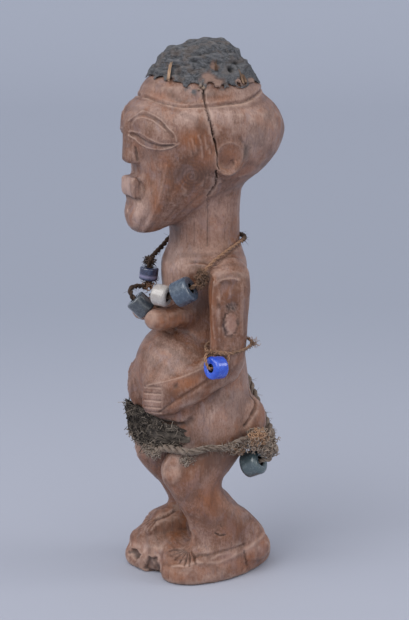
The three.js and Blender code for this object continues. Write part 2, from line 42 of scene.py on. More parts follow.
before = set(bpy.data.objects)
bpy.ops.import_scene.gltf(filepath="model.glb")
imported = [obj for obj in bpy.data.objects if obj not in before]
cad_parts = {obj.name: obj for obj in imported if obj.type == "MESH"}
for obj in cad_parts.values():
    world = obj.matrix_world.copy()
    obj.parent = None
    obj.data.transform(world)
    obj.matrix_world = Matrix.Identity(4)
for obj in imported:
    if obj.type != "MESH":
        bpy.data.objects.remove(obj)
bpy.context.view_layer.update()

MM = 0.001
IMAGE_HEIGHT = 620
SENSOR = 36.0

# Camera, in metres and in pixels of the photograph

CAMERA_PLACE = (0.5938, -0.26438, 0.258)
CAMERA_TARGET = (0.0, 0.0, 0.10573)
FOCAL_PIXELS = 1721.4

# Routes of the cords, in mm

ROUTE_STEP = 0.4

NECKLACE_ROUTE = (
    (0, 15.4, 134.4), (9.3, 12.3, 134.5), (14.9, 6.2, 133.6), (18.1, 0, 131.6), (19.6, -4.8, 129.2),
    (20.6, -8.6, 126.4), (21.4, -11.4, 122.4), (20.4, -13.9, 120.1), (18.9, -15.5, 118.9),
    (16.9, -17.5, 117.3), (15.4, -19.1, 116.1), (13.4, -20.1, 115.4), (11.7, -21.6, 115.7),
    (9.5, -23.4, 115.9), (7.8, -24.9, 116.2), (6.2, -24.6, 114.6), (4.6, -20.6, 110.6),
    (3, -20.2, 106.2), (1.3, -23.7, 107.3), (0.6, -25.4, 109), (-0.4, -27.6, 111.4),
    (-1.1, -29.3, 113.1), (-3.6, -29.4, 115.8), (-6.4, -25.2, 116.2), (-8, -21.6, 115.4),
    (-7.5, -20.5, 117.6), (-7.5, -20.3, 119.4), (-7.3, -20.1, 121.8), (-7.3, -19.9, 123.6),
    (-8, -19, 126), (-12.4, -12.8, 129.4), (-14.6, -6.9, 133.3), (-15.1, 2.2, 134.7), (-9.1, 13, 133.2),
)
ARM_ROUTE = (
    (28.8, 0, 95.5), (27.9, 4.5, 96.2), (25.7, 7.9, 97.1), (22.6, 9.1, 98), (19.5, 7.9, 98.6),
    (17.3, 4.5, 98.8), (16.5, 0, 98.5), (17.3, -4.5, 97.8), (19.5, -7.9, 96.9), (22.6, -9.1, 96),
    (25.7, -7.9, 95.4), (27.9, -4.6, 95.2),
)
LOOP_ROUTE = (
    (25.9, -8.4, 95.8), (29.6, -12.8, 95.4), (31.3, -12.2, 91.3), (30.8, -10.1, 91.1), (30, -7.5, 90.9),
    (29.5, -5.4, 90.7), (29.2, -3.4, 92.8), (28.4, -3.2, 95.2),
)
WAIST_ROUTE = (
    (20.1, -15.1, 55.9), (22.2, -8, 57), (22.4, -1.2, 56.3), (21.6, 6, 58.2), (21.8, 11.6, 58),
    (16.4, 20.8, 57), (10.2, 23.9, 57), (5.6, 23.7, 60.4), (3, 22, 66), (0.6, 20.4, 71.4),
    (-3, 19.7, 75.7), (-9.1, 18, 76.3), (-18, 11.7, 74.4), (-22.7, -0.3, 69.3), (-22.3, -8.7, 63.4),
    (-17.4, -18.6, 59), (-12.4, -23.6, 56), (-6, -25, 54.6), (0, -24, 53.8), (6, -23.2, 53.8),
    (12.7, -21.6, 56.1),
)
HANGER_ROUTE = (
    (22.6, 12.6, 57), (24, 15.8, 53.6), (23.6, 17.2, 50), (21.5, 15.1, 49.2), (19.6, 13.5, 48.1),
    (17.2, 11.7, 46.7), (15.3, 10.1, 45.6),
)

# Lines and places on the wood in mm, on the figure's left but for the far foot: eye, nose, mouth and cheek

EYE_RIM = (
    (2, -31.5, 181), (6.5, -30.5, 183.5), (8.5, -28.5, 185), (12, -27, 184.5), (16, -25, 183),
    (19, -22.5, 179.5), (20.5, -21, 177.5), (21, -20.5, 175),
)
EYE_GROOVE = (
    (3, -31, 180.5), (8.5, -29.5, 184), (13, -27.5, 183.7), (16, -25.5, 182.2), (18.8, -23, 179.3),
    (20.3, -21.5, 176.5),
)
EYE_FACET = (
    (4, -31, 179.5), (8.5, -30, 182.6), (13.5, -27.5, 182.4), (16, -25.5, 180.8), (18.3, -23.5, 178.6),
)
EYE_LOW = (
    (2, -31.5, 175.5), (5, -30, 174), (8.5, -29, 172.6), (13, -27.5, 171.6), (16, -25.5, 171.4),
    (18.5, -23, 172), (21.5, -20, 173.8),
)
LID_EDGE = ((2, -31.5, 177), (10.5, -30, 177), (14.5, -28, 175.5), (18, -24.5, 174), (20.5, -21, 174))
LID_GROOVE = (
    (3, -31, 176), (8.5, -29.5, 175.2), (13, -28, 173.8), (17, -25, 172.9), (20, -21.5, 173.4),
)
NOSE_SIDE = ((3.5, -29.5, 171), (4.2, -29.5, 168.5), (5, -29.5, 166.5))
LIP_UNDER = ((-5, -31, 151.4), (-1.5, -31.5, 151.6), (2.5, -31, 151.8), (6.2, -29.3, 151.9))
LIP_SIDE = ((5.2, -29.6, 161), (6, -28.8, 158.6), (7.2, -27.8, 155.6), (6.9, -28, 152.8))
CHIN_NICK = ((-1, -30, 146.8), (-0.2, -30, 146.2))
CHEEK_EDGE = (
    (5, -27.5, 140), (9, -26.5, 143.5), (13, -24.5, 151.5), (14.5, -23, 158.5), (16, -22, 165),
)
WHORL = (20.0, -14.5, 161.5)
STROKES_FRONT = -16.5
STROKES_BACK = -8
STROKE_COUNT = 8

# Cap, ear and the crack down the head

CAP_GROOVE = (
    (2, -25, 189.5), (11, -23, 188.5), (17.5, -17.5, 187), (19.5, -12.5, 187), (20.5, -7, 187),
    (21, -1, 187.5), (20, 5, 187.5), (18, 11, 189), (13.5, 16, 190.5), (0, 20, 191),
)
EAR = (25, -1, 168)
EAR_RIM = tuple(
    (EAR[0], EAR[1] + 5.7 * math.cos(turn), EAR[2] + 6 * math.sin(turn))
    for turn in np.linspace(0, 2 * math.pi, 16, endpoint=False)
)
EAR_SHADE = ((24.6, 3.4, 175), (23.9, 5.9, 171.4), (24.2, 5.4, 167.2), (24.4, 2.6, 163.4))
CRACK = (
    (18, -8.5, 193.5), (19, -8.5, 190.5), (20, -8.5, 188), (22.5, -8.5, 185.5), (24, -8.5, 183),
    (24.5, -8, 180), (24.5, -7.5, 177), (24.5, -6.5, 174), (24, -6, 171), (25, -5.5, 168),
    (25, -5.5, 166), (22, -5, 163), (19.5, -4, 158), (18, -5, 155.5), (16.5, -6, 153.5),
)
CRACK_TAIL = ((16.5, -6, 153.5), (13, -4.5, 147.5), (13, -4.5, 140.5), (13, -4.5, 134))

# Shoulder, breast, belly, hip and knee

SHOULDER_LINE = (
    (12, -11.5, 128), (15.5, -7.5, 128), (20.5, -4.5, 128.5), (16, 2.5, 130.5), (8.5, 11, 133),
)
BREAST_UNDER = ((3, -18, 99.6), (8, -17.6, 101.4), (12, -15.5, 103.6))
BELLY_CREASE = ((2, -24.5, 66.5), (8, -23, 66), (13.5, -19, 65.5), (16.5, -16, 66), (18, -13.5, 68))
HIP_LINE = ((12.5, 15, 77.5), (13, 15, 73), (13, 15, 69.5), (15, 12, 66), (16.5, 9, 62.8))
KNEE = (16.5, -20.5, 49)

# Arm and hand

ARM_TOP = ((24, -9.5, 90), (21.5, -16, 87), (17, -22, 84), (9, -28, 80.5))
ARM_UNDER = (
    (14.5, -25, 71.5), (19.5, -21, 76.5), (22.5, -16, 80.5), (24.5, -11, 84), (25.5, -4.5, 87.5),
)
ARM_RIDGE = ((24, -7, 122), (24, -7.5, 115.5), (24, -7.5, 108), (25, -7, 101))
ARM_FRONT = ((23.4, -7.6, 123), (23.6, -7.6, 115), (23.9, -7.6, 108), (24, -7.6, 101))
ARM_BACK = ((26.6, 3.7, 120.5), (26.9, 3.6, 111), (26.9, 3.7, 101.5))
ARM_KNOBS = (25.4, -6.4, 108)
ARM_PANEL_TOP = ((24.5, -6.5, 121), (25.5, -4.5, 123), (26.5, -1, 123.6), (27, 2.4, 122.8))
SCAR = (
    (27.1, -2.8, 102), (27.4, -0.6, 101.4), (27.4, 1, 103), (27.4, 1.5, 106), (27.4, 0.7, 109.2),
    (27.1, -1.4, 110.6), (27, -3.1, 109.6), (26.9, -3.7, 106),
)
SCAR_LEFT = ((27.2, -2.6, 102), (27, -3.8, 104.5), (26.9, -4, 107.5), (27, -3.2, 110))
SCAR_CENTRE = (27, -1.1, 106)
TORN_WOOD = (27.3, -1.2, 112.6)
TORN_SPLITS = 5
TORN_LEFT = ((27, -3, 113.6), (27.2, -2, 112), (27.2, -1.6, 110.6))
TORN_RIGHT = ((27.3, -0.8, 114), (27.4, -0.2, 112.4), (27.4, 0.6, 111), (27.4, 1, 109.8))
HAND_EDGE = ((14.5, -24, 83.5), (16, -24.5, 78.5), (15.5, -24.5, 72.5))
FINGER_HEIGHTS = (80.5, 78, 75.2, 72.4, 69.8)

# Feet and base

SOLE_LINE = (
    (15.5, -11.5, 11), (16.5, -9.5, 12), (18, -6, 12), (18, -1.5, 12.5), (18, 3.5, 13), (17.5, 9, 14),
)
RIM_LINE = (
    (11.5, -19, 7.5), (13.5, -15.5, 7.5), (17.5, -12, 9.5), (18, -6, 9), (18, -1.5, 8.5), (18, 7.5, 11),
    (16, 16.5, 14.5), (12.5, 20.5, 15.5),
)
ANKLE_MARK = ((17.6, -3.4, 20.7), (17.8, -1.5, 19.4), (18.1, 0.6, 19.4))
ANKLE_NICK = ((18.6, -1.5, 24.4), (18.4, -1, 23.1))
BASE_CRACK = ((18, 9, 11.5), (17.5, 10, 8), (15.5, 11.5, 4))
FAR_FOOT_LINE = ((-9.5, -19, 19), (-7, -16.5, 20.5), (-6.5, -13, 21.5), (-6.5, -10, 23))
TOE_ROOT = (8, -9.5, 13)
TOE_TIPS = (
    (4, -16.5, 10), (6.5, -17, 9.5), (9, -16.5, 8.5), (11.5, -15.5, 8), (14, -14.5, 7.5),
    (16, -13.5, 8), (17.5, -11.5, 9),
)

# How far a mark's line can reach on the skin, in mm

MARK_REACH = 3.0


# Arithmetic on places

# Large odd numbers that scatter the place of a lattice cell into a fixed pseudo-random number
LATTICE_KEYS = (374761393, 668265263, 1274126177)
SEED_KEY = 974711
SCRAMBLE_KEY = 1103515245
LOW_BITS = 0xFFFFFF


def between(a, b, start, end, t):
    """The place at t on the straight that runs from a at start to b at end."""
    return a * ((end - t) / (end - start)) + b * ((t - start) / (end - start))


def smooth_line(points, step, closed=False):
    """A smooth line through the points, with a point about every step."""
    points = np.array(points, float)
    if closed:
        ring = np.vstack([points[-1], points, points[:2]])
    else:
        ring = np.vstack([2 * points[0] - points[1], points, 2 * points[-1] - points[-2]])
    out = []
    for i in range(len(ring) - 3):
        before, start, end, after = ring[i:i + 4]
        spans = ((before, start), (start, end), (end, after))
        knots = np.cumsum([0.0] + [math.sqrt(np.linalg.norm(q - p)) for p, q in spans])
        pieces = max(2, int(np.linalg.norm(end - start) / step))
        for t in np.linspace(knots[1], knots[2], pieces, endpoint=False):
            first = between(before, start, knots[0], knots[1], t)
            second = between(start, end, knots[1], knots[2], t)
            third = between(end, after, knots[2], knots[3], t)
            left = between(first, second, knots[0], knots[2], t)
            right = between(second, third, knots[1], knots[3], t)
            out.append(between(left, right, knots[1], knots[2], t))
    if not closed:
        out.append(points[-1])
    return np.array(out)


def even_steps(line, step, closed=False):
    """The same line with its points a step apart."""
    if closed:
        line = np.vstack([line, line[:1]])
    lengths = np.concatenate([[0], np.cumsum(np.linalg.norm(np.diff(line, axis=0), axis=1))])
    count = max(3, int(round(lengths[-1] / step)))
    stops = np.linspace(0, lengths[-1], count, endpoint=not closed)
    return np.stack([np.interp(stops, lengths, line[:, axis]) for axis in range(3)], 1)


def directions(line, closed=False):
    """Which way a line runs at each of its points."""
    along = np.roll(line, -1, 0) - np.roll(line, 1, 0) if closed else np.gradient(line, axis=0)
    return along / np.maximum(np.linalg.norm(along, axis=1), 1e-9)[:, None]


def steady_sides(along, lean):
    """A sideways direction at each point of a line, which turns as little as it can on the way."""
    side = np.cross(along[0], lean)
    side /= np.linalg.norm(side)
    out = []
    for way in along:
        side = side - way * np.dot(side, way)
        side /= np.linalg.norm(side)
        out.append(side)
    return np.array(out)


def unit(vector):
    return vector / np.linalg.norm(vector)


def mirrored(points):
    """The points' twins on the figure's right side."""
    return tuple((-x, y, z) for x, y, z in points)


def moved(points, back=0.0, up=0.0):
    """The same points a little further back, or higher."""
    return tuple((x, y + back, z + up) for x, y, z in points)


def snapped(line, tree):
    """The line moved on to the nearest surface."""
    return np.array([tuple(tree.find_nearest(Vector(point))[0]) for point in line])


def distance_to_line(points, line, reach):
    """How far each point is from a line, where it is nearer than reach, and reach elsewhere."""
    out = np.full(len(points), float(reach))
    near = np.all((points > line.min(0) - reach) & (points < line.max(0) + reach), axis=1)
    index = np.flatnonzero(near)
    batch = 2000
    for start in range(0, len(index), batch):
        part = index[start:start + batch]
        gap = np.linalg.norm(points[part, None] - line[None], axis=2).min(1)
        out[part] = np.minimum(gap, reach)
    return out


def near_place(points, centre, radii):
    """1 at the centre of an egg-shaped place, falling to 0 well outside its radii."""
    away = (points - np.array(centre, float)) / np.array(radii, float)
    return np.exp(-np.sum(away ** 2, axis=1))


def painted(points, spots):
    """The strongest of the spots at each point. A spot is a centre, radii and a strength."""
    total = np.zeros(len(points))
    for centre, radii, amount in spots:
        total = np.maximum(total, amount * near_place(points, centre, radii))
    return total


def rise(value, low, high):
    """A soft step from 0 to 1 while the value goes from low to high."""
    t = np.clip((value - low) / (high - low), 0, 1)
    return t * t * (3 - 2 * t)


def band(value, start, low, high, end):
    """1 from low to high, falling softly to 0 at start and at end."""
    return rise(value, start, low) * rise(-value, -end, -high)


def lattice_value(cell, seed):
    """A fixed pseudo-random number from 0 to 1 for each cell of a lattice."""
    with np.errstate(over="ignore"):
        key = sum(cell[:, axis] * LATTICE_KEYS[axis] for axis in range(3)) + seed * SEED_KEY
        key = (key ^ (key >> 13)) * SCRAMBLE_KEY
        key = (key ^ (key >> 16)) & LOW_BITS
    return key / float(LOW_BITS)


def lumps(points, size, seed):
    """Smooth noise from -1 to 1 whose lumps are about size across. size may differ by axis."""
    scaled = points / np.array(size, float)
    cell = np.floor(scaled).astype(np.int64)
    part = scaled - cell
    part = part * part * (3 - 2 * part)
    total = np.zeros(len(points))
    for corner in np.ndindex(2, 2, 2):
        weight = np.prod(np.where(np.array(corner), part, 1 - part), axis=1)
        total += weight * lattice_value(cell + np.array(corner), seed)
    return total * 2 - 1


def drift(points, size, seed):
    """A smooth wandering move for each point, from three seeds that follow one another."""
    return np.stack([lumps(points, size, seed + axis) for axis in range(3)], 1)


# Skins: meshes in mm while they are worked, in metres when they are placed

FACETS_PER_CORNER = 1.2
FACET_DEPTH = 0.35


class Skin:
    """A mesh being carved: its corners' places in mm, and which corners each edge joins."""

    def __init__(self, mesh):
        self.mesh = mesh
        self.read()

    def read(self):
        count = len(self.mesh.vertices)
        flat = np.empty(count * 3)
        self.mesh.vertices.foreach_get("co", flat)
        self.places = flat.reshape(-1, 3) / MM
        pairs = np.empty(len(self.mesh.edges) * 2, np.int32)
        self.mesh.edges.foreach_get("vertices", pairs)
        self.pairs = pairs.reshape(-1, 2)
        self.links = np.bincount(self.pairs.ravel(), minlength=count)

    def write(self):
        self.mesh.vertices.foreach_set("co", (self.places * MM).ravel())
        self.mesh.update()

    def normals(self):
        self.write()
        flat = np.empty(len(self.places) * 3)
        self.mesh.vertex_normals.foreach_get("vector", flat)
        return flat.reshape(-1, 3)

    def tree(self):
        """The faces as a tree, which finds the nearest place on them."""
        return surface_tree(self.places.tolist(), self.mesh)

    def relaxed(self, values, weight, rounds):
        """Values averaged with their neighbours' again and again."""
        values = values.copy()
        first, second = self.pairs.T
        count = len(values)
        for _ in range(rounds):
            mean = np.stack([
                np.bincount(first, values[second, k], count) + np.bincount(second, values[first, k], count)
                for k in range(values.shape[1])
            ], 1) / self.links[:, None]
            values += weight * (mean - values)
        return values

    def soften(self, weight, rounds):
        """Rounds the skin, all over or more at some corners than at others."""
        self.places = self.relaxed(self.places, np.reshape(weight, (-1, 1)), rounds)

    def refine(self, wanted):
        """Halves the faces whose corners are all wanted."""
        self.write()
        work = bmesh.new()
        work.from_mesh(self.mesh)
        edges = set()
        for face in work.faces:
            if all(wanted[corner.index] for corner in face.verts):
                edges.update(face.edges)
        bmesh.ops.subdivide_edges(work, edges=list(edges), cuts=1, use_grid_fill=True)
        work.to_mesh(self.mesh)
        work.free()
        self.read()

    def push(self, distance):
        """Moves each corner outwards by its distance in mm."""
        self.places += self.normals() * distance[:, None]

    def proud(self, rounds):
        """How far each corner stands out of its smoothed surroundings, in mm."""
        away = self.places - self.relaxed(self.places, 0.5, rounds)
        return np.sum(away * self.normals(), axis=1)

    def shave(self, centre, normal, reach):
        """A flat cut: what stands past a plane through the centre is taken off, out to the reach."""
        normal = unit(np.array(normal, float))
        away = self.places - np.array(centre, float)
        height = away @ normal
        near = np.linalg.norm(away, axis=1) < reach
        self.places -= np.where(near & (height > 0), height, 0)[:, None] * normal

    def cut_facets(self, spacing, amount, tilt, seed, stretch=(1, 1, 1)):
        """Small flat cuts all over, where amount is above 0: each corner moves towards its cut's plane."""
        random = np.random.default_rng(seed)
        normals = self.normals()
        scale = np.array(stretch, float)
        order = random.permutation(len(self.places))
        chosen = order[:max(8, int(len(order) * FACETS_PER_CORNER / spacing ** 2))]
        tree = KDTree(len(chosen))
        for k, index in enumerate(chosen):
            tree.insert(self.places[index] * scale, k)
        tree.balance()
        planes = normals[chosen] + random.normal(0, tilt, (len(chosen), 3))
        planes /= np.linalg.norm(planes, axis=1)[:, None]
        wanted = np.flatnonzero(amount > 0.01)
        owner = np.array([tree.find(p)[1] for p in self.places[wanted] * scale])
        height = np.sum((self.places[wanted] - self.places[chosen[owner]]) * planes[owner], axis=1)
        move = np.zeros(len(self.places))
        move[wanted] = np.clip(-height, -FACET_DEPTH, FACET_DEPTH) * amount[wanted]
        self.places += normals * move[:, None]


def surface_tree(places, mesh):
    """The faces of a mesh as a tree, from its corners' places in mm."""
    return BVHTree.FromPolygons(places, [tuple(face.vertices) for face in mesh.polygons])


def even_skin(node, face_size):
    """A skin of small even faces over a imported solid."""
    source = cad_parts[node].data.copy()
    holder = bpy.data.objects.new("holder", source)
    bpy.context.scene.collection.objects.link(holder)
    remesh = holder.modifiers.new("even", "REMESH")
    remesh.mode = "VOXEL"
    remesh.voxel_size = face_size * MM
    graph = bpy.context.evaluated_depsgraph_get()
    mesh = bpy.data.meshes.new_from_object(holder.evaluated_get(graph))
    bpy.data.objects.remove(holder)
    bpy.data.meshes.remove(source)
    return Skin(mesh)


def set_tone(mesh, name, *tones):
    """Up to four tones that a material reads, one number from 0 to 1 for each corner."""
    attribute = mesh.color_attributes.new(name, "FLOAT_COLOR", "POINT")
    values = np.zeros((len(mesh.vertices), 4))
    for k, tone in enumerate(tones):
        values[:, k] = tone
    attribute.data.foreach_set("color", np.clip(values, 0, 1).astype(np.float32).ravel())


def place_piece(name, mesh, material, replaces=()):
    """Puts a finished mesh in the scene, on the body, under its name."""
    mesh.name = name
    mesh.materials.clear()
    mesh.materials.append(material)
    mesh.shade_smooth()
    piece = bpy.data.objects.new(name, mesh)
    bpy.context.scene.collection.objects.link(piece)
    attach(piece, "root")
    if replaces:
        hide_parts(*replaces)
    return piece


class Weave:
    """Collects tubes and fibres, and makes them one mesh."""

    def __init__(self):
        self.places = []
        self.faces = []
        self.tones = []
        self.count = 0

    def tube(self, line, radius, sides, tone, closed=False):
        """A tube round a line. radius may be one number or one for each point of the line."""
        line = np.asarray(line, float)
        count = len(line)
        radius = np.broadcast_to(np.asarray(radius, float), (count,))
        along = directions(line, closed)
        side = steady_sides(along, (0.31, 0.52, 0.79))
        turn = np.linspace(0, 2 * math.pi, sides, endpoint=False)[:, None]
        rings = np.cos(turn) * side[:, None] + np.sin(turn) * np.cross(along, side)[:, None]
        base = self.count
        self.places.append((line[:, None] + radius[:, None, None] * rings).reshape(-1, 3))
        self.tones.append(np.broadcast_to(np.asarray(tone, float), (count, 4)).repeat(sides, axis=0))
        for k in range(count if closed else count - 1):
            here = base + k * sides
            there = base + ((k + 1) % count) * sides
            for s in range(sides):
                n = (s + 1) % sides
                self.faces.append((here + s, here + n, there + n, there + s))
        if not closed:
            self.faces.append(tuple(range(base + sides - 1, base - 1, -1)))
            self.faces.append(tuple(range(base + (count - 1) * sides, base + count * sides)))
        self.count += count * sides

    def mesh(self, name):
        mesh = bpy.data.meshes.new(name)
        mesh.from_pydata((np.concatenate(self.places) * MM).tolist(), [], self.faces)
        set_tone(mesh, "tone", *np.concatenate(self.tones).T)
        mesh.validate()
        return mesh


# Materials

class Shade:
    """A material's nodes, made one after another."""

    def __init__(self, name):
        self.material = bpy.data.materials.new(name)
        self.material.use_nodes = True
        self.tree = self.material.node_tree
        self.shader = self.tree.nodes["Principled BSDF"]
        place = self.add("ShaderNodeTexCoord")
        scale = self.add("ShaderNodeVectorMath", operation="SCALE")
        scale.inputs["Scale"].default_value = 1 / MM
        self.tree.links.new(place.outputs["Object"], scale.inputs[0])
        self.place = scale.outputs[0]
        self.tones = self.painted("tone")

    def painted(self, name):
        """The four tones that a mesh carries under a name."""
        tone = self.add("ShaderNodeAttribute", attribute_name=name)
        parts = self.add("ShaderNodeSeparateColor")
        self.tree.links.new(tone.outputs["Color"], parts.inputs[0])
        return (*parts.outputs[:3], tone.outputs["Alpha"])

    def add(self, kind, **settings):
        node = self.tree.nodes.new(kind)
        for key, value in settings.items():
            setattr(node, key, value)
        return node

    def set_sockets(self, node, **sockets):
        """Sets constants on a node's sockets, with _ for the spaces in their names."""
        for key, value in sockets.items():
            node.inputs[key.replace("_", " ")].default_value = value

    def feed(self, socket, value):
        """Links a socket to another, or sets it where the value is a number or a colour."""
        if isinstance(value, bpy.types.NodeSocket):
            self.tree.links.new(value, socket)
        elif hasattr(socket.default_value, "__len__") and len(socket.default_value) == 4:
            socket.default_value = (*tuple(value)[:3], 1)
        else:
            socket.default_value = value

    def noise(self, size, detail=2.0, stretch=(1, 1, 1), rough=0.5, twist=0.0):
        """Noise from 0 to 1 whose lumps are about size mm across, longer where stretch is above 1."""
        turn = self.add("ShaderNodeMapping")
        turn.inputs["Scale"].default_value = tuple(1 / (size * s) for s in stretch)
        self.feed(turn.inputs[0], self.place)
        node = self.add("ShaderNodeTexNoise")
        self.set_sockets(node, Scale=1.0, Detail=detail, Roughness=rough, Distortion=twist)
        self.feed(node.inputs["Vector"], turn.outputs[0])
        return node.outputs["Fac"]

    def rings(self, direction, centre, scale, twist, detail_size):
        """Wavering rings round a centre in mm, as growth leaves them in wood."""
        away = self.add("ShaderNodeVectorMath", operation="SUBTRACT")
        self.feed(away.inputs[0], self.place)
        away.inputs[1].default_value = centre
        node = self.add("ShaderNodeTexWave", wave_type="RINGS", rings_direction=direction)
        self.set_sockets(node, Scale=scale, Distortion=twist, Detail=2.0, Detail_Scale=detail_size)
        self.feed(node.inputs["Vector"], away.outputs[0])
        return node.outputs["Fac"]

    def along(self, direction):
        """How far each place lies along a direction, as a share of its length in metres."""
        node = self.add("ShaderNodeVectorMath", operation="DOT_PRODUCT")
        self.feed(node.inputs[0], self.place)
        node.inputs[1].default_value = tuple(c * MM for c in direction)
        return node.outputs["Value"]

    def ramp(self, value, low, high, start=0.0, end=1.0):
        """A soft step from start to end while the value goes from low to high."""
        node = self.add("ShaderNodeMapRange", interpolation_type="SMOOTHSTEP")
        self.feed(node.inputs["Value"], value)
        self.set_sockets(node, From_Min=low, From_Max=high, To_Min=start, To_Max=end)
        return node.outputs["Result"]

    def reckon(self, operation, first, second):
        node = self.add("ShaderNodeMath", operation=operation)
        self.feed(node.inputs[0], first)
        self.feed(node.inputs[1], second)
        return node.outputs[0]

    def times(self, first, second):
        return self.reckon("MULTIPLY", first, second)

    def plus(self, first, second):
        return self.reckon("ADD", first, second)

    def mix(self, share, first, second):
        node = self.add("ShaderNodeMix", data_type="RGBA")
        self.feed(node.inputs["Factor"], share)
        self.feed(node.inputs["A"], first)
        self.feed(node.inputs["B"], second)
        return node.outputs["Result"]

    def layered(self, color, *layers):
        """Colours laid over one another. A layer is its driver, low, high, greatest share and colour."""
        for value, low, high, most, other in layers:
            color = self.mix(self.ramp(value, low, high, 0, most), color, other)
        return color

    def bump(self, height, depth, below=None):
        """Fine relief too small for the mesh. depth in mm."""
        node = self.add("ShaderNodeBump")
        self.set_sockets(node, Strength=1.0, Distance=depth * MM)
        self.feed(node.inputs["Height"], height)
        if below is not None:
            self.feed(node.inputs["Normal"], below)
        return node.outputs[0]

    def finish(self, color, rough, normal=None, **constants):
        self.feed(self.shader.inputs["Base Color"], color)
        self.feed(self.shader.inputs["Roughness"], rough)
        if normal is not None:
            self.feed(self.shader.inputs["Normal"], normal)
        self.set_sockets(self.shader, **constants)
        return self.material


def darker(color, share):
    """A share of a colour's light."""
    return tuple(part * share for part in color)


def wood_material(settings):
    """Old handled wood: upright grain, grey bloom, orange where it is worn, stains, painted highlights, and
    painted shade that is near black in the cuts.
    """
    shade = Shade("worn wood")
    dark, worn, pale, stain = shade.tones
    # The bloom tones: painted highlight, painted shade, the bare scar and the resin smear
    light, deep, scar, smear = shade.painted("bloom")
    knot = shade.painted("stamp")[0]
    broad = shade.noise(16, 3, (1, 1, 1.6))
    patch = shade.noise(4.5, 4, (1, 1, 1.8), 0.6)
    grain = shade.noise(0.7, 3, (1, 1, 14), 0.62, 0.3)
    fleck = shade.noise(0.42, 2, (1, 1, 4.5), 0.5)
    pore = shade.noise(1.1, 3, (1, 1, 1.3), 0.75)
    speck = shade.noise(0.75, 4, (1, 1, 1.4), 0.7)
    warmth = shade.noise(7, 4, (1, 1, 1.4), 0.6, 0.6)
    haze = shade.noise(5.2, 4, (1, 1, 1.5), 0.6, 0.8)
    whorl = shade.rings("SPHERICAL", WHORL, scale=0.21, twist=14.0, detail_size=0.3)
    growth = shade.rings("Z", (0, 0, 0), scale=0.09, twist=5.0, detail_size=0.5)

    tone = shade.times(shade.ramp(broad, 0.35, 0.65), 0.32)
    tone = shade.plus(tone, shade.times(shade.ramp(patch, 0.32, 0.7), 0.28))
    # Painted highlight lightens the wood here
    tone = shade.plus(tone, shade.times(light, shade.ramp(patch, 0.3, 0.6, 0.6, 1.1)))
    tone = shade.plus(tone, shade.ramp(speck, 0.3, 0.7, -0.2, 0.18))
    # Painted shade darkens the wood here
    tone = shade.plus(tone, shade.times(deep, -0.7))
    color = shade.mix(tone, settings.deep, settings.light)
    color = shade.layered(
        color,
        (warmth, 0.5, 0.66, 0.34, settings.orange),
        (haze, 0.52, 0.66, 0.4, settings.bloom),
    )
    color = shade.mix(shade.times(worn, shade.ramp(patch, 0.25, 0.6, 0.6, 1.0)), color, settings.orange)
    # Dark grey stains, with painted shade in the creases and gaps
    color = shade.mix(shade.times(stain, shade.ramp(patch, 0.3, 0.6, 0.5, 1.0)), color, settings.stain)
    color = shade.layered(color, (growth, 0.55, 1.0, 0.3, settings.grain))
    color = shade.mix(shade.times(knot, shade.ramp(whorl, 0.4, 0.85, 0, 0.55)), color, settings.grain)
    color = shade.layered(
        color,
        (grain, 0.52, 0.72, 0.42, settings.grain),
        (grain, 0.4, 0.28, 0.2, settings.light),
        (fleck, 0.62, 0.72, 0.5, settings.grain),
        (pore, 0.66, 0.74, 0.45, settings.grain),
    )
    color = shade.mix(shade.times(scar, 0.4), color, settings.scar)
    # Pale rubbed edges and breaks, and painted highlight along raised lines and ridges
    color = shade.mix(pale, color, settings.pale)
    color = shade.mix(shade.times(smear, shade.ramp(speck, 0.3, 0.6, 0.75, 1.0)), color, settings.smear)
    # Near black painted as shade in the cracks, cut grooves, pits and hollows
    color = shade.mix(dark, color, settings.crack)

    rough = shade.plus(shade.ramp(speck, 0.3, 0.7, 0.36, 0.56), shade.times(dark, 0.3))
    relief = shade.bump(grain, 0.2)
    relief = shade.bump(speck, 0.1, relief)
    relief = shade.bump(pore, 0.16, relief)
    return shade.finish(color, rough, relief, Specular_IOR_Level=0.45, Coat_Weight=0.12, Coat_Roughness=0.3)


def resin_material(settings):
    """A dark layered mass of resin and earth, with a patch of wood that shows through and a pale lump."""
    shade = Shade("old resin")
    pit, dust, wood, lump = shade.tones
    layer = shade.noise(1.9, 5, (1.7, 1.7, 0.7), 0.7, 2.2)
    grit = shade.noise(0.55, 3, (1.3, 1.3, 0.8), 0.7, 1.5)
    earth = shade.noise(3.4, 4)
    color = shade.mix(shade.ramp(layer, 0.36, 0.62), settings.deep, settings.light)
    color = shade.layered(color, (earth, 0.48, 0.64, 0.55, settings.earth))
    # Paler on the ridges: dust and painted highlight
    color = shade.mix(shade.times(dust, 0.5), color, settings.dust)
    color = shade.layered(color, (grit, 0.52, 0.68, 0.65, settings.dust))
    color = shade.mix(shade.ramp(grit, 0.3, 0.42, 0.6, 0), color, settings.pit)
    color = shade.mix(shade.times(wood, shade.ramp(layer, 0.3, 0.5, 0.55, 0.95)), color, settings.wood)
    color = shade.mix(lump, color, settings.lump)
    # Near black in the hole and the hollows: painted shade
    color = shade.mix(pit, color, settings.pit)
    relief = shade.bump(layer, 0.7)
    relief = shade.bump(grit, 0.3, relief)
    return shade.finish(color, 0.72, relief, Specular_IOR_Level=0.35)


def fibre_material(name, deep, light, rough=0.9, rust=None):
    """Twisted plant fibre. The first tone runs from deep to light, the second is dirt, the third rust."""
    shade = Shade(name)
    share, dirt, red, _ = shade.tones
    patch = shade.noise(3, 3)
    thread = shade.noise(0.22, 2)
    color = shade.mix(shade.plus(share, shade.ramp(patch, 0.3, 0.7, -0.2, 0.2)), deep, light)
    if rust:
        color = shade.mix(red, color, rust)
    color = shade.layered(color, (thread, 0.5, 0.75, 0.5, darker(deep, 0.45)))
    color = shade.mix(dirt, color, darker(deep, 0.3))
    return shade.finish(color, rough, shade.bump(thread, 0.12), Specular_IOR_Level=0.25)


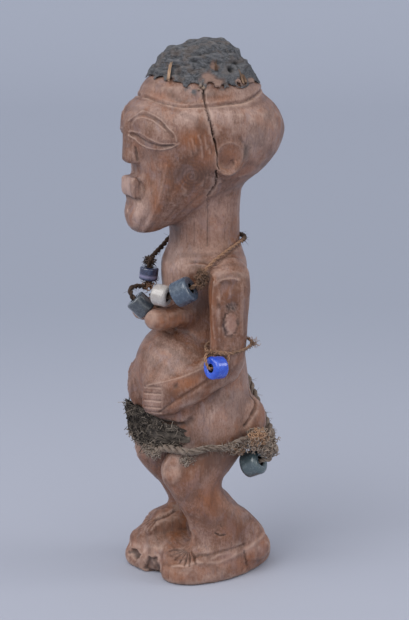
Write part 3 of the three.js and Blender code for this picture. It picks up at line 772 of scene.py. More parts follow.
def glass_material(name, color, light, grime):
    """Opaque bead glass with streaks, pits and a worn shine. Its tones are a paler line and the hole,
    painted near black as shade.
    """
    shade = Shade(name)
    mark, hole, _, _ = shade.tones
    streak = shade.noise(1.6, 3, rough=0.55)
    pit = shade.noise(0.3, 2)
    tint = shade.layered(color, (streak, 0.36, 0.68, 0.42, light))
    tint = shade.layered(tint, (pit, 0.6, 0.7, grime, darker(color, 0.4)))
    tint = shade.mix(mark, tint, BEAD_LINE_COLOR)
    tint = shade.mix(hole, tint, BEAD_HOLE_SHADE)
    polish = shade.ramp(streak, 0.3, 0.7, 0.2, 0.3)
    return shade.finish(tint, polish, Specular_IOR_Level=0.6, Coat_Weight=0.8, Coat_Roughness=0.12)


def hide_material(settings):
    """The skin side of the hide, with dust mixed in where its second tone asks for it."""
    shade = Shade("dried hide")
    share, dirt, _, _ = shade.tones
    patch = shade.ramp(shade.noise(2.2, 4), 0.3, 0.7, -0.05, 0.12)
    color = shade.mix(shade.plus(share, patch), settings.deep, settings.light)
    color = shade.mix(dirt, color, settings.dust)
    return shade.finish(color, 0.85, shade.bump(shade.noise(0.5, 3), 0.15), Specular_IOR_Level=0.3)


# Figure

def figure_softness(places):
    """How much each part of the rough skin is rounded: broad forms much, cut details little."""
    x, y, z = places.T
    side = np.abs(x)
    weight = np.where((z > 134) | ((z > 62) & (z < 118) & (side < 16)), 0.5, 0.36)
    face = rise(-y, 18, 24) * band(z, 134, 140, 186, 192)
    profile = rise(-y, 26, 29) * band(z, 147, 150, 167, 170)
    weight = weight * (1 - 0.9 * face) * (1 - 0.9 * profile)
    ear = rise(side, 21.5, 23.5) * band(z, 158, 162, 174, 178)
    hand = rise(-y, 19, 22) * rise(side, 3, 6) * band(z, 64, 68, 85, 88)
    feet = band(z, 5, 8, 20, 24)
    cap = band(z, 184, 187, 192, 196)
    return weight * (1 - 0.9 * ear) * (1 - 0.95 * hand) * (1 - 0.85 * feet) * (1 - 0.9 * cap)


def detail_place(places):
    """True where the skin needs its finer faces."""
    x, y, z = places.T
    side = np.abs(x)
    face = (y < -19) & (z > 142) & (z < 188)
    ear = (side > 21) & (z > 160) & (z < 176) & (y > -9) & (y < 7)
    hand = (y < -20) & (side > 5) & (z > 65) & (z < 86)
    feet = (z < 15) & (z > 6) & (y < -8) & (side < 21)
    return face | ear | hand | feet


class Mark:
    """A line cut into the wood, or raised from it where depth is below 0, and the tone painted along it:
    dark as painted shade in a groove, pale as rubbing and painted highlight on a raised edge.
    """

    def __init__(self, points, depth, width, dark=0.0, pale=0.0, tone_width=None,
                 both=False, closed=False, shake=0.12):
        sides = (points, mirrored(points)) if both else (points,)
        self.lines = [smooth_line(side, 0.25, closed) for side in sides]
        self.depth = depth
        self.width = width
        self.dark = dark
        self.pale = pale
        self.tone_width = tone_width or width
        self.shake = shake

    def fine_reach(self):
        """How far from the line the skin needs its finest faces, in mm."""
        return 0.9 + self.width * 0.5


def face_marks():
    """The eyes, nose, mouth, ears, cap, and the crack down the head."""
    # The dark of each mark is painted shade in its groove, strongest in the crack, under the lips and in
    # the cap's groove; the pale is rubbing and painted highlight along raised edges
    return [
        Mark(EYE_RIM, -0.34, 0.3, pale=0.7, both=True),
        Mark(EYE_GROOVE, 0.4, 0.4, dark=0.35, both=True),
        Mark(EYE_FACET, -0.2, 0.3, pale=0.4, both=True),
        Mark(LID_EDGE, -0.25, 0.3, pale=0.55, both=True),
        Mark(LID_GROOVE, 0.65, 0.55, dark=0.5, both=True),
        Mark(EYE_LOW, -0.32, 0.34, pale=0.65, both=True),
        Mark(NOSE_SIDE, 0.7, 0.45, dark=0.5, both=True),
        Mark(LIP_UNDER, 1.0, 0.8, dark=0.5),
        Mark(LIP_SIDE, 0.6, 0.5, dark=0.35, both=True),
        Mark(CHIN_NICK, 0.2, 0.4, pale=1.0),
        Mark(EAR_RIM, -0.14, 0.4, pale=0.22, both=True, closed=True),
        Mark(EAR_SHADE, 0.35, 0.7, dark=0.3, both=True),
        Mark(CRACK, 1.9, 0.26, dark=1.0, tone_width=0.36),
        Mark(CRACK_TAIL, 0.4, 0.25, dark=0.55, tone_width=0.3),
        Mark(moved(CAP_GROOVE, up=1.4), -0.4, 0.9, pale=0.1, both=True),
        Mark(CAP_GROOVE, 0.7, 0.45, dark=0.28, both=True),
        Mark(moved(CAP_GROOVE, up=-0.9), -0.25, 0.5, pale=0.6, both=True),
        Mark(CHEEK_EDGE, -0.45, 0.8, pale=0.1, both=True),
    ]


def body_marks():
    """The shoulders, breasts, belly and arms, with the scar and the torn wood on the left arm."""
    # The dark of these marks is painted shade in their grooves, creases and splits, as under the breasts
    # and arms and in the belly crease over the hide; the pale is rubbing and painted highlight along raised
    # edges
    return [
        Mark(SHOULDER_LINE, 0.4, 0.45, dark=0.4),
        Mark(moved(SHOULDER_LINE, up=-1.1), -0.2, 0.4, pale=0.25),
        Mark(BREAST_UNDER, 0.4, 0.6, dark=0.4, both=True),
        Mark(BELLY_CREASE, 0.6, 1.0, dark=0.9, both=True),
        Mark(HIP_LINE, 0.9, 0.6, dark=0.8),
        Mark(ARM_TOP, -0.4, 0.45, pale=0.4, both=True),
        Mark(ARM_UNDER, 0.45, 0.55, dark=0.45, both=True),
        Mark(ARM_RIDGE, -0.6, 0.8, pale=0.05, both=True),
        Mark(ARM_FRONT, 0.3, 0.5, dark=0.3, both=True),
        Mark(ARM_BACK, -0.3, 0.4, pale=0.3),
        Mark(ARM_PANEL_TOP, -0.3, 0.4, pale=0.45),
        Mark(SCAR, 0.45, 0.32, dark=0.75, closed=True, shake=0.7),
        Mark(SCAR_LEFT, 0.6, 0.5, dark=0.85, shake=0.5),
        Mark(TORN_LEFT, 0.5, 0.34, dark=0.95, shake=0.5),
        Mark(TORN_RIGHT, 0.5, 0.34, dark=0.9, shake=0.5),
        Mark(moved(TORN_RIGHT, up=0.6), -0.2, 0.3, pale=0.5, shake=0.5),
        Mark(HAND_EDGE, -0.2, 0.5, pale=0.2, both=True),
    ]


def base_marks():
    # The dark of these lines is painted shade in their grooves and cracks; the pale along the rim is
    # rubbing and painted highlight
    """The soles, ankles, and the rim and crack of the base."""
    return [
        Mark(SOLE_LINE, 0.6, 0.6, dark=0.4, both=True),
        Mark(RIM_LINE, -0.3, 0.6, pale=0.45, tone_width=0.8),
        Mark(ANKLE_MARK, 0.5, 0.28, dark=1.0),
        Mark(ANKLE_NICK, 0.4, 0.3, dark=0.8),
        Mark(BASE_CRACK, 0.6, 0.28, dark=0.8),
        Mark(FAR_FOOT_LINE, 0.7, 0.5, dark=0.55),
    ]


def torn_marks():
    """The splits that fan out above the scar."""
    for k in range(TORN_SPLITS):
        torn = ((27.2, -2.8 + 0.9 * k, 111.3), (27.3, -2.3 + 0.8 * k, 112.6), (27.3, -3 + 1.1 * k, 114))
        yield Mark(torn, 0.5, 0.24, dark=0.9, shake=0.5)


def finger_marks():
    """A groove painted dark as shade, and the pale edge under it painted as rubbing and highlight, below
    each finger.
    """
    for height in FINGER_HEIGHTS:
        finger = ((8, -29, height), (11.5, -27.5, height + 0.5), (15.5, -25, height + 1))
        yield Mark(finger, 0.3, 0.28, dark=0.25, both=True)
        yield Mark(moved(finger, up=-0.6), -0.1, 0.24, pale=0.55, both=True)


def temple_marks():
    """The short upright strokes between the eye and the ear, uneven in length and lean."""
    for place in np.linspace(STROKES_FRONT, STROKES_BACK, STROKE_COUNT):
        top = 175 + 2 * math.sin(place * 2.3)
        long = 3.4 + 1.4 * math.sin(place * 4.1)
        lean = 0.8 + 0.3 * math.sin(place * 3.3)
        middle = (23, place + lean * 0.6, top - long * 0.5)
        stroke = ((23, place, top), middle, (22.8, place + lean, top - long))
        # The pale stroke is rubbing and painted highlight; the dark groove behind it is painted shade
        yield Mark(stroke, -0.12, 0.4, pale=0.4, both=True, shake=0.2)
        yield Mark(moved(stroke, back=0.7), 0.18, 0.3, dark=0.3, both=True, shake=0.2)


def toe_marks():
    """The strokes between the toes, which fan out from the instep, on both feet."""
    root = np.array(TOE_ROOT, float)
    # Each stroke is painted dark, as shade in its groove
    for tip in np.array(TOE_TIPS, float):
        toe = (root + (tip - root) * 0.4, root + (tip - root) * 0.75 + (0, 0, 1), tip)
        yield Mark(toe, 0.8, 0.4, dark=0.6)
        far = [(-1.15 * x, y - 5.5, z + 7) for x, y, z in toe]
        yield Mark(far, 0.5, 0.4, dark=0.2)


def figure_marks():
    """Every mark on the wood, in the order in which they are cut."""
    groups = (face_marks, body_marks, base_marks, torn_marks, finger_marks, temple_marks, toe_marks)
    return [mark for group in groups for mark in group()]


# Pits and chips: the centre and radii of each, and its depth, in mm

PITS = (
    ((19.5, -20.5, 82.5), (0.8, 0.8, 0.8), 0.6), ((25.6, -5.6, 113.4), (0.6, 0.6, 1), 0.4),
    ((18.1, -2.2, 21.8), (0.6, 0.6, 0.5), 0.5), ((14, -10.7, 22.5), (0.5, 0.5, 0.5), 0.5),
    ((-5.5, -12, 20), (0.6, 0.6, 0.5), 0.5),
)
CHIPS = (
    ((-9, -26.4, 6.2), (3.4, 3.4, 2), 1.1), ((-0.6, -22.6, 2.6), (4, 4.4, 4.6), 1.2),
    ((-13.6, -27, 5.4), (1.4, 2, 0.8), 0.4),
)

# Tones of the wood: the centre and radii of each place in mm, and how strong its tone is

# Pale rubbed edges and breaks, mostly round the chips of the base, with painted highlight on the knee, the
# cap's edge, the base rim and the mouth
PALE_WEAR_AND_HIGHLIGHT_PLACES = (
    ((-13.5, -26.4, 8.6), (5.5, 3, 1.3), 0.7), ((-6, -25.4, 9), (5, 3, 1.6), 0.65),
    ((-3.4, -25, 5.4), (0.9, 1.6, 2.6), 0.75), ((-1, -19.5, 10.6), (3, 3, 1.2), 0.4),
    ((16.2, -20.6, 49.5), (2.4, 2.4, 2.8), 0.3), ((18, 10, 188.6), (3, 4, 0.8), 0.6),
    ((17.6, 7, 11), (1.6, 7, 0.9), 0.6), ((20, 3, 187), (2, 5, 0.7), 0.5),
    ((0, -32.4, 157), (4, 1.6, 3), 0.2),
)
ORANGE_PLACES = (
    ((22.5, -14, 175.2), (5, 6.4, 3.6), 1.0), ((23.5, -9, 170), (5, 4, 5), 0.9),
    ((24.5, -1, 168), (4, 4.5, 5), 0.8), ((20, 8, 162), (7, 7, 6), 0.5),
    ((12.4, -24.6, 150.5), (1.6, 2.2, 6), 0.9), ((11.2, -25, 143.4), (1.7, 2.2, 2.4), 1.0),
    ((16, -22.5, 167), (2.4, 3, 5), 0.6), ((23.8, -7.6, 112), (2, 2.2, 13), 0.95),
    ((19, -6, 35), (8, 8, 10), 0.7), ((22, -16, 84), (6, 7, 3.4), 0.85), ((14, 16, 67), (7, 5, 6), 0.5),
    ((17, 12, 7), (6, 8, 5), 0.9), ((14, 18, 13), (6, 5, 4), 0.6), ((12, -16, 3), (7, 5, 3), 0.75),
    ((-12, -27, 9), (8, 5, 3), 0.5), ((13, -21, 105.6), (6, 8, 3.6), 1.0),
    ((17, -14, 45), (6, 6, 6), 0.5), ((20, -2, 190), (3, 5, 1.6), 0.5),
    ((10, -22, 190.5), (6, 4, 1.6), 0.6), ((18, 2, 22), (4, 8, 5), 0.4),
    ((12, -2, 142), (9, 9, 13), 0.22), ((19, 2, 8), (5, 10, 5), 0.35), ((22, 12, 160), (6, 6, 8), 0.35),
    ((12, -20, 6), (8, 6, 4), 0.4), ((21, -10, 152), (6, 7, 7), 0.5), ((12, -22, 118), (5, 5, 8), 0.3),
)
# Dark grey stains on the neck, head, cap, torn wood and whorl, and painted shade in the belly crease over
# the hide, round the waist rope and between the arm and the body
STAIN_AND_SHADE_PLACES = (
    ((3.4, -13.4, 138), (1.9, 4, 7), 0.62), ((3.4, -13.4, 131), (2, 4, 3), 0.3),
    ((27.3, -1.2, 112.6), (2, 2, 1.5), 0.95), ((24, 6.4, 170), (3, 1.8, 4.5), 0.7),
    ((19, -14, 57), (8, 8, 5), 0.5), ((8, -23, 66), (12, 6, 2.4), 0.5), ((21, 0, 52), (9, 9, 5), 0.5),
    ((20, -14.5, 162), (5, 5, 4), 0.45), ((18.6, -13.6, 60), (3, 4, 4), 0.6),
    ((24, -7, 168), (4, 4, 9), 0.3), ((19.3, -7, 191.4), (2, 5, 1.2), 0.5),
    ((24.6, 12, 173), (4, 2.4, 3), 0.35), ((16, -9, 108), (3, 3, 8), 0.4),
)
# Painted highlight and sheen on the head, forehead, chin, mouth, chest, belly, hip, arms and knee, with a
# few paler patches of wood on the base
PAINTED_HIGHLIGHT_PLACES = (
    ((23, -4, 184), (8, 16, 4), 0.9), ((24, 12, 177), (6, 8, 9), 0.6), ((8, -28, 186), (8, 5, 4), 0.3),
    ((7, -28.5, 147.5), (4, 4, 6), 1.0), ((25, 4, 180), (3, 5, 4), 0.5), ((17, 11, 10), (4, 8, 4), 0.5),
    ((24.5, -1, 168), (4, 4.5, 5), 0.35), ((19, -9, 43), (5, 5, 6), 0.35),
    ((8, -21.5, 96), (5, 4, 5), 0.3), ((4, -16, 126), (8, 6, 8), 0.65),
    ((9, -23, 90), (8, 6, 10), 0.25), ((20, -12, 34), (5, 5, 8), 0.3), ((14, -19, 24), (6, 5, 6), 0.3),
    ((-13, -26.4, 9.4), (7, 3, 1.4), 0.5), ((20, -3, 69), (6, 13, 6), 0.45),
    ((16.5, -20.5, 49), (4, 4, 5), 0.25), ((12, -27, 76), (5, 4, 8), 0.4),
    ((27, -1.5, 104), (2, 2.4, 5), 0.2), ((14, -2, 142), (6, 7, 12), 0.4),
    ((18, -8, 5), (6, 14, 5), 0.2), ((22, 6, 86), (5, 8, 12), 0.4), ((20, 8, 74), (5, 5, 6), 0.6),
    ((20, -15, 74), (4, 4, 4), 0.45), ((20, 10, 166), (5, 6, 5), 0.25),
    ((-6, -24, 9.5), (8, 5, 2.4), 0.4), ((0, -32, 156), (6, 3, 5), 1.0),
    ((20, 4, 190), (8, 10, 4), 0.15), ((0, 12, 120), (20, 12, 40), 0.2),
)
SMEAR_PLACES = (
    ((18, -12.4, 192.2), (2.4, 2.2, 1.4), 0.9), ((17, -14.5, 193.4), (3, 3, 0.8), 0.7),
    ((19.6, -1.8, 192.8), (2, 2.4, 0.9), 0.6),
)
# Painted shade in hollows, under the nose, breasts, belly and forearm, between the arm and the body,
# between the legs and low on the base, with darker wood round the whorl
PAINTED_SHADE_PLACES = (
    ((20.5, -14.5, 161.5), (5, 7, 6), 0.8), ((20.5, -2, 52), (8, 12, 5), 0.6),
    ((8, -23, 66.5), (12, 5, 2), 0.9), ((16, -9, 117), (4, 4, 12), 0.8),
    ((0, -8, 40), (10, 14, 20), 0.5), ((0, -31, 164), (5, 4, 2.4), 0.5),
    ((12, -18, 101), (10, 8, 3), 0.5), ((24, -8, 178), (5, 6, 7), 0.6), ((22, 0, 158), (6, 9, 5), 0.2),
    ((-8, -14, 20), (8, 9, 6), 0.8), ((14, -14, 104), (6, 5, 8), 0.7), ((20, -18, 80), (6, 6, 3), 0.95),
    ((17, -9, 10), (5, 7, 4), 0.4), ((8, -29, 179), (6, 4, 5), 0.3),
    ((26.8, -0.5, 118), (2, 3.5, 5), 0.75), ((26, -3, 106), (3, 5, 8), 0.3),
    ((12, 18, 30), (10, 6, 14), 0.4), ((10, -20, 4), (8, 6, 4), 0.35),
)


def rough_figure(settings, marks):
    """The rounded skin of the figure, with finer faces along the marks. Lays the marks on it."""
    skin = even_skin("figure", settings.face_size)
    skin.soften(figure_softness(skin.places), 12)
    skin.refine(detail_place(skin.places))
    skin.soften(0.25, 3)
    tree = skin.tree()
    fine = np.zeros(len(skin.places), bool)
    for mark in marks:
        mark.lines = [snapped(line, tree) for line in mark.lines]
        for line in mark.lines:
            fine |= distance_to_line(skin.places, line, MARK_REACH) < mark.fine_reach()
    skin.refine(fine)
    skin.soften(0.25, 2)
    return skin


def cut_flats(skin):
    """The knife's flat cuts: all over, deeper on the head, and one on each knee."""
    x, _, z = skin.places.T
    head = band(z, 136, 142, 182, 186) * rise(np.abs(x), 10, 16)
    skin.cut_facets(spacing=5, amount=0.35 + 0.45 * head, tilt=0.035, seed=3, stretch=(1, 1, 0.6))
    knees = [((way * KNEE[0], KNEE[1], KNEE[2]), (6, 5, 7), 0.8) for way in (-1, 1)]
    skin.cut_facets(spacing=9, amount=painted(skin.places, knees), tilt=0.0, seed=8)
    for way in (-1, 1):
        skin.shave((KNEE[0] * way, KNEE[1] + 0.5, KNEE[2]), (0.5 * way, -0.8, 0.33), reach=6)


def scar_share(places):
    """1 on the bare wood of the scar on the left arm, 0 elsewhere."""
    x, y, z = places.T
    return np.exp(-(((y - SCAR_CENTRE[1]) / 2.1) ** 4 + ((z - SCAR_CENTRE[2]) / 4) ** 4)) * (x > 24)


def form_relief(places):
    """The uneven surface, hollow ears and arm panels, knobs, scar, torn wood and pits, in mm outwards."""
    x, y, z = places.T
    side = np.abs(x)
    ear = np.exp(-(((y - EAR[1]) / 4.6) ** 2 + ((z - EAR[2]) / 4.9) ** 2) ** 2) * (side > 20)
    panel = rise(side, 24.5, 26) * band(y, -5.8, -4.8, -1, 3.6) * band(z, 96, 101, 121.8, 123)
    scar = scar_share(places)
    knobs = near_place(places, ARM_KNOBS, (2.4, 1.6, 13)) * lumps(places, (3, 3, 3.4), 26)
    torn = near_place(places, TORN_WOOD, (2, 2.2, 1.7))
    relief = 0.16 * lumps(places, 7, 1) + 0.07 * lumps(places, (1.6, 1.6, 4), 2)
    relief += -0.3 * ear - 0.55 * panel - 0.1 * scar + 0.5 * knobs
    relief += scar * 0.2 * lumps(places, 1.2, 4)
    relief += torn * 0.5 * lumps(places, (0.9, 0.9, 1.3), 27)
    for centre, radii, depth in PITS:
        relief -= depth * near_place(places, centre, radii)
    return relief


def broken_places(places):
    """How deep the chips go in mm, how much of each place is broken, and the lips round the breaks."""
    depth_here = np.zeros(len(places))
    chip = np.zeros(len(places))
    lip = np.zeros(len(places))
    for centre, radii, depth in CHIPS:
        near = near_place(places, centre, radii) + 0.2 * lumps(places, 1.8, 28)
        broken = rise(near, 0.38, 0.52)
        depth_here += depth * broken * (1 + 0.25 * lumps(places, 1.1, 29))
        chip = np.maximum(chip, broken)
        lip = np.maximum(lip, rise(near, 0.12, 0.36))
    return depth_here, chip, lip


def cut_marks(skin, marks):
    """Cuts the marks into the skin. Gives the dark painted along them as shade and the pale painted along
    them as rubbing and highlight.
    """
    tree = skin.tree()
    dark = np.zeros(len(skin.places))
    pale = np.zeros(len(skin.places))
    sink = np.zeros(len(skin.places))
    wander = np.clip(0.8 + 0.5 * lumps(skin.places, 2.5, 21), 0, 1)
    shaken = drift(skin.places, 1.2, 31)
    for mark in marks:
        for line in mark.lines:
            gap = distance_to_line(skin.places + mark.shake * shaken, snapped(line, tree), MARK_REACH)
            cut = np.exp(-(gap / mark.width) ** 2) * (gap < MARK_REACH)
            tint = np.exp(-(gap / mark.tone_width) ** 2) * (gap < MARK_REACH) * wander
            sink -= mark.depth * cut
            dark = np.maximum(dark, mark.dark * tint)
            pale = np.maximum(pale, mark.pale * tint)
    skin.push(sink)
    return dark, pale


def carve_figure(settings):
    """The wood figure's mesh, with the tones that its material reads."""
    marks = figure_marks()
    skin = rough_figure(settings, marks)
    cut_flats(skin)
    scar = scar_share(skin.places)
    depth, chip, lip = broken_places(skin.places)
    skin.push(form_relief(skin.places) - depth)
    dark, pale = cut_marks(skin, marks)

    # Hollows and pits are darkened as painted shade; ridges are lightened as rubbing and painted highlight
    proud = skin.proud(6)
    pits = painted(skin.places, [(centre, radii, 0.8) for centre, radii, _ in PITS])
    ragged = rise(lumps(skin.places, 1.4, 34), -0.3, 0.3)
    skin.places[:, 2] = np.maximum(skin.places[:, 2], 0)
    rubbed_and_highlight = np.maximum(0.45 * lip * (1 - chip), painted(skin.places, PALE_WEAR_AND_HIGHLIGHT_PLACES) * ragged)
    dark = np.maximum.reduce([dark, rise(-proud, 0.05, 0.3) * 0.4, pits])
    pale = np.maximum.reduce([pale, rise(proud, 0.05, 0.25) * 0.4, rubbed_and_highlight])
    stain = np.maximum(painted(skin.places, STAIN_AND_SHADE_PLACES), 0.62 * chip)
    smear = painted(skin.places, SMEAR_PLACES) + 0.35 * lumps(skin.places, 1.1, 24)
    skin.write()
    set_tone(skin.mesh, "tone", dark, painted(skin.places, ORANGE_PLACES), pale, stain)
    # Painted highlight and painted shade, laid in the bloom tones with the scar and the resin smear
    light = painted(skin.places, PAINTED_HIGHLIGHT_PLACES)
    deep = painted(skin.places, PAINTED_SHADE_PLACES)
    set_tone(skin.mesh, "bloom", light, deep, scar, rise(smear, 0.35, 0.75))
    set_tone(skin.mesh, "stamp", near_place(skin.places, WHORL, (8, 7.5, 5.4)))
    return skin.mesh


# Resin crown: where its rim runs lower or higher, and where wood shows through it

DRIPS = (
    ((18, -12, 195), (3, 2.6, 3), 2.6), ((16, -15, 195), (3, 3, 3), 1.0),
    ((19, -2.5, 195), (3, 2.4, 3), 1.6), ((13, 13, 195), (4, 5, 3), -0.8),
    ((10, -20, 195), (4, 3, 3), -0.6),
)
WOOD_PATCHES = (
    ((17.5, -6, 197.6), (3, 3, 2.6), 1.0), ((18.6, -3.4, 195), (3, 3.4, 2), 0.9),
    ((18, 7, 195.4), (3.4, 3.6, 2), 0.9), ((15, 12.5, 195), (3, 3, 1.3), 0.9),
    ((11.4, -19.6, 196), (1.6, 2, 2.4), 0.9), ((15.6, -3, 201), (2, 1.6, 2), 0.8),
)
RESIN_BULGE = (3, -14.5, 204.5)
RESIN_LUMP = (18, -9.6, 193.6)
RESIN_HOLE = (16.6, 3.2, 200)
RESIN_SLOT = (12, -20, 198)
RIM_HEIGHT = 194.2
RIM_THICKNESS = 0.55


def run_down(skin):
    """Lays the rim of the resin on the cap, with drips that reach lower in some places."""
    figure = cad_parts["figure"].data
    tree = surface_tree([tuple(corner.co / MM) for corner in figure.vertices], figure)
    rim = rise(-skin.places[:, 2], -198, -195.6)
    drop = 0.5 + 0.8 * lumps(skin.places, 4, 18) + 0.5 * lumps(skin.places, 1.8, 19)
    for centre, radii, depth in DRIPS:
        drop += depth * near_place(skin.places, centre, radii)
    for k in np.flatnonzero(rim > 0.01):
        place = skin.places[k]
        low = Vector((place[0] * 1.08, place[1] * 1.08, RIM_HEIGHT - drop[k]))
        hit, normal = tree.find_nearest(low)[:2]
        skin.places[k] = place + rim[k] * (np.array(hit + normal * RIM_THICKNESS) - place)


def pack_resin(settings):
    """The resin's mesh: ledges, lumps, grit, a hole, a slot, a pale lump, and wood that shows through."""
    skin = even_skin("resin_crown", settings.face_size)
    skin.soften(0.4, 4)
    bulge = near_place(skin.places, RESIN_BULGE, (9, 6, 4))
    skin.places += bulge[:, None] * np.array((0, -1.6, 0.9))
    run_down(skin)
    wood = rise(painted(skin.places, WOOD_PATCHES) + 0.3 * lumps(skin.places, 1.6, 17), 0.3, 0.6)
    lump = near_place(skin.places, RESIN_LUMP, (1.5, 1.9, 1.5))
    hole = near_place(skin.places, RESIN_HOLE, (1.5, 1.2, 1.2))
    slot = near_place(skin.places, RESIN_SLOT, (1.6, 1.6, 3))
    folded = skin.places + 1.5 * drift(skin.places, 5, 14)
    ledge = lumps(folded, (7, 7, 1.6), 11)
    rough = lumps(folded, (3, 3, 1.8), 12)
    grit = lumps(skin.places, (1.6, 1.6, 1), 13)
    outward = rise(skin.places[:, 2], 195, 199)
    crust = outward * (0.75 * ledge + 0.6 * rough + 0.35 * grit) * (1 - 0.7 * wood)
    skin.push(crust + 0.8 * lump - 2.2 * hole - 1.2 * slot - 0.5 * wood)
    proud = skin.proud(5)
    # Paler on the ridges, as dust and painted highlight; the hole and the hollows near black, as painted
    # shade
    dust = np.maximum(rise(proud, 0.0, 0.25), 0.8 * near_place(skin.places, (17, 5, 199), (4, 6, 4)))
    skin.write()
    hollow = np.maximum(hole, rise(-proud, 0.05, 0.35) * 0.85 * (1 - wood))
    set_tone(skin.mesh, "tone", hollow, dust, np.maximum(wood, slot), rise(lump, 0.3, 0.6))
    return skin.mesh


# Slivers: the foot and head of each, how thick and how pale it is, and how many splinters it is split into

SLIVERS = (
    ("crown_peg_1", (11.4, -19.4, 196.2), (7.4, -16.8, 203.2), 0.85, 0.9, 5),
    ("crown_peg_2", (17.4, -3, 199.4), (15.4, -2.4, 203.4), 0.6, 0.02, 4),
    ("crown_peg_3", (18, 7.8, 195), (15.4, 7, 199.4), 1.0, 0.45, 7),
)


def splinter(name, foot, head, thick, shade, count):
    """A sliver, split lengthwise into splinters that fan out a little and end at uneven heights."""
    random = np.random.default_rng(len(name) + count)
    foot, head = np.array(foot, float), np.array(head, float)
    weave = Weave()
    share = np.linspace(0, 1, 9)
    for _ in range(count):
        spread = random.normal(0, thick * 0.42, 3)
        fan = random.normal(0, thick * 0.35, 3)
        end = random.uniform(0.55, 1.0)
        t = (share * end)[:, None]
        line = foot + (head - foot) * t + spread + fan * t * t
        line += random.normal(0, 0.05, line.shape)
        width = thick * random.uniform(0.32, 0.55) * (1 - 0.75 * share ** 2)
        weave.tube(line, width, 5, (np.clip(shade + random.normal(0, 0.1), 0, 1), 0, 0, 1))
    return weave.mesh(name)


# Beads

BEAD_SIDES = 144
BEAD_LINE_COLOR = (0.3, 0.27, 0.42)
# Near black painted in the bore as shade
BEAD_HOLE_SHADE = (0.012, 0.012, 0.014)


class Bead(NamedTuple):
    """A bead: its place, the way its hole runs, its sizes in mm, its colours, its grime and its slot, which
    is not used.
    """
    name: str
    centre: tuple
    axis: tuple
    outer: float
    bore: float
    length: float
    edge: float
    color: tuple
    light: tuple
    grime: float
    slot: str


BEADS = (
    Bead("grey_blue_bead", (17.9, -16.5, 118.1), (0.61, 0.63, 0.48), 5, 1.9, 7.2, 0.9,
         (0.05, 0.075, 0.115), (0.13, 0.17, 0.22), 0.3, "grey_blue_glass"),
    Bead("white_bead", (10.6, -22.5, 115.8), (0.76, 0.64, -0.1), 4.1, 1.8, 6.4, 1.5,
         (0.42, 0.38, 0.36), (0.6, 0.58, 0.55), 0.7, "white_glass"),
    Bead("dark_grey_bead", (0.1, -26.5, 110.2), (-0.29, -0.66, 0.69), 4.1, 1.8, 7.4, 0.9,
         (0.045, 0.055, 0.07), (0.11, 0.13, 0.15), 0.3, "dark_grey_glass"),
    Bead("navy_bead", (-7.4, -20.2, 120.6), (0.05, 0.1, 1), 3.6, 1.6, 5, 0.7,
         (0.02, 0.025, 0.06), (0.06, 0.09, 0.2), 0.3, "navy_glass"),
    Bead("blue_bead", (30.4, -8.8, 91), (0.27, -0.96, 0.1), 4.3, 1.6, 6, 1.1,
         (0.008, 0.062, 0.53), (0.035, 0.16, 0.85), 0.3, "blue_glass"),
    Bead("tuft_bead", (18.4, 12.6, 47.4), (0.71, 0.56, 0.41), 5.1, 1.9, 7.8, 1.7,
         (0.06, 0.092, 0.104), (0.13, 0.17, 0.185), 0.3, "grey_green_glass"),
)


def bead_profile(bead):
    """The outline of one side of a bead, as radii and heights: hole, rounded lip, rounded edge, outside."""
    half = bead.length / 2
    edge = bead.edge
    lip = edge * 0.5
    quarter = np.linspace(0, math.pi / 2, 11)
    upper = [(bead.bore, half - lip)]
    upper += [(bead.bore + lip * (1 - math.cos(t)), half - lip + lip * math.sin(t)) for t in quarter[1:]]
    upper += [(bead.outer - edge + edge * math.sin(t), half - edge + edge * math.cos(t)) for t in quarter]
    lower = [(radius, -height) for radius, height in reversed(upper)]
    sides = [(bead.outer, (half - edge) * share) for share in (0.5, 0, -0.5)]
    return [lower[-1], *upper, *sides, *lower[:-1]]


def bead_mesh(bead, seed):
    """A bead's mesh, a little uneven as drawn glass is, with tones for its line and for its hole, which is
    painted near black as shade.
    """
    profile = bead_profile(bead)
    axis = Vector(bead.axis).normalized()
    turn = axis.to_track_quat("Z", "Y").to_matrix()
    places = []
    bore_shade = []
    faces = []
    for i, (radius, height) in enumerate(profile):
        here = i * BEAD_SIDES
        there = (i + 1) % len(profile) * BEAD_SIDES
        for k in range(BEAD_SIDES):
            n = (k + 1) % BEAD_SIDES
            angle = 2 * math.pi * k / BEAD_SIDES
            places.append(turn @ Vector((radius * math.cos(angle), radius * math.sin(angle), height)))
            bore_shade.append(1.0 if radius < bead.bore + 0.02 else 0.0)
            faces.append((here + k, here + n, there + n, there + k))
    local = np.array(places)
    local *= (1 + 0.02 * lumps(local + 30, 3.5, seed))[:, None]
    mesh = bpy.data.meshes.new(bead.name)
    mesh.from_pydata(((local + np.array(bead.centre)) * MM).tolist(), [], faces)
    work = bmesh.new()
    work.from_mesh(mesh)
    bmesh.ops.recalc_face_normals(work, faces=work.faces)
    work.to_mesh(mesh)
    work.free()
    height = local @ np.array(axis)
    line = 0.7 * np.exp(-((height + 0.9) / 0.22) ** 2) if bead.name == "navy_bead" else 0
    set_tone(mesh, "tone", line, bore_shade)
    return mesh


# Cords

TWIST_STEPS = 14
TWIST_LEAN = (0.2, 0.3, 0.9)
FIBRE_DROOP = 0.3


class Tuft(NamedTuple):
    """A frayed place on a cord, and the number, size, tone and curl of the fibres that stand out there."""
    centre: tuple
    radii: tuple
    count: int
    length: float
    thick: float
    tone: float
    seed: int
    curl: float = 0.5
    lean: tuple = (0, 0, 0)
    rust: float = 0.0


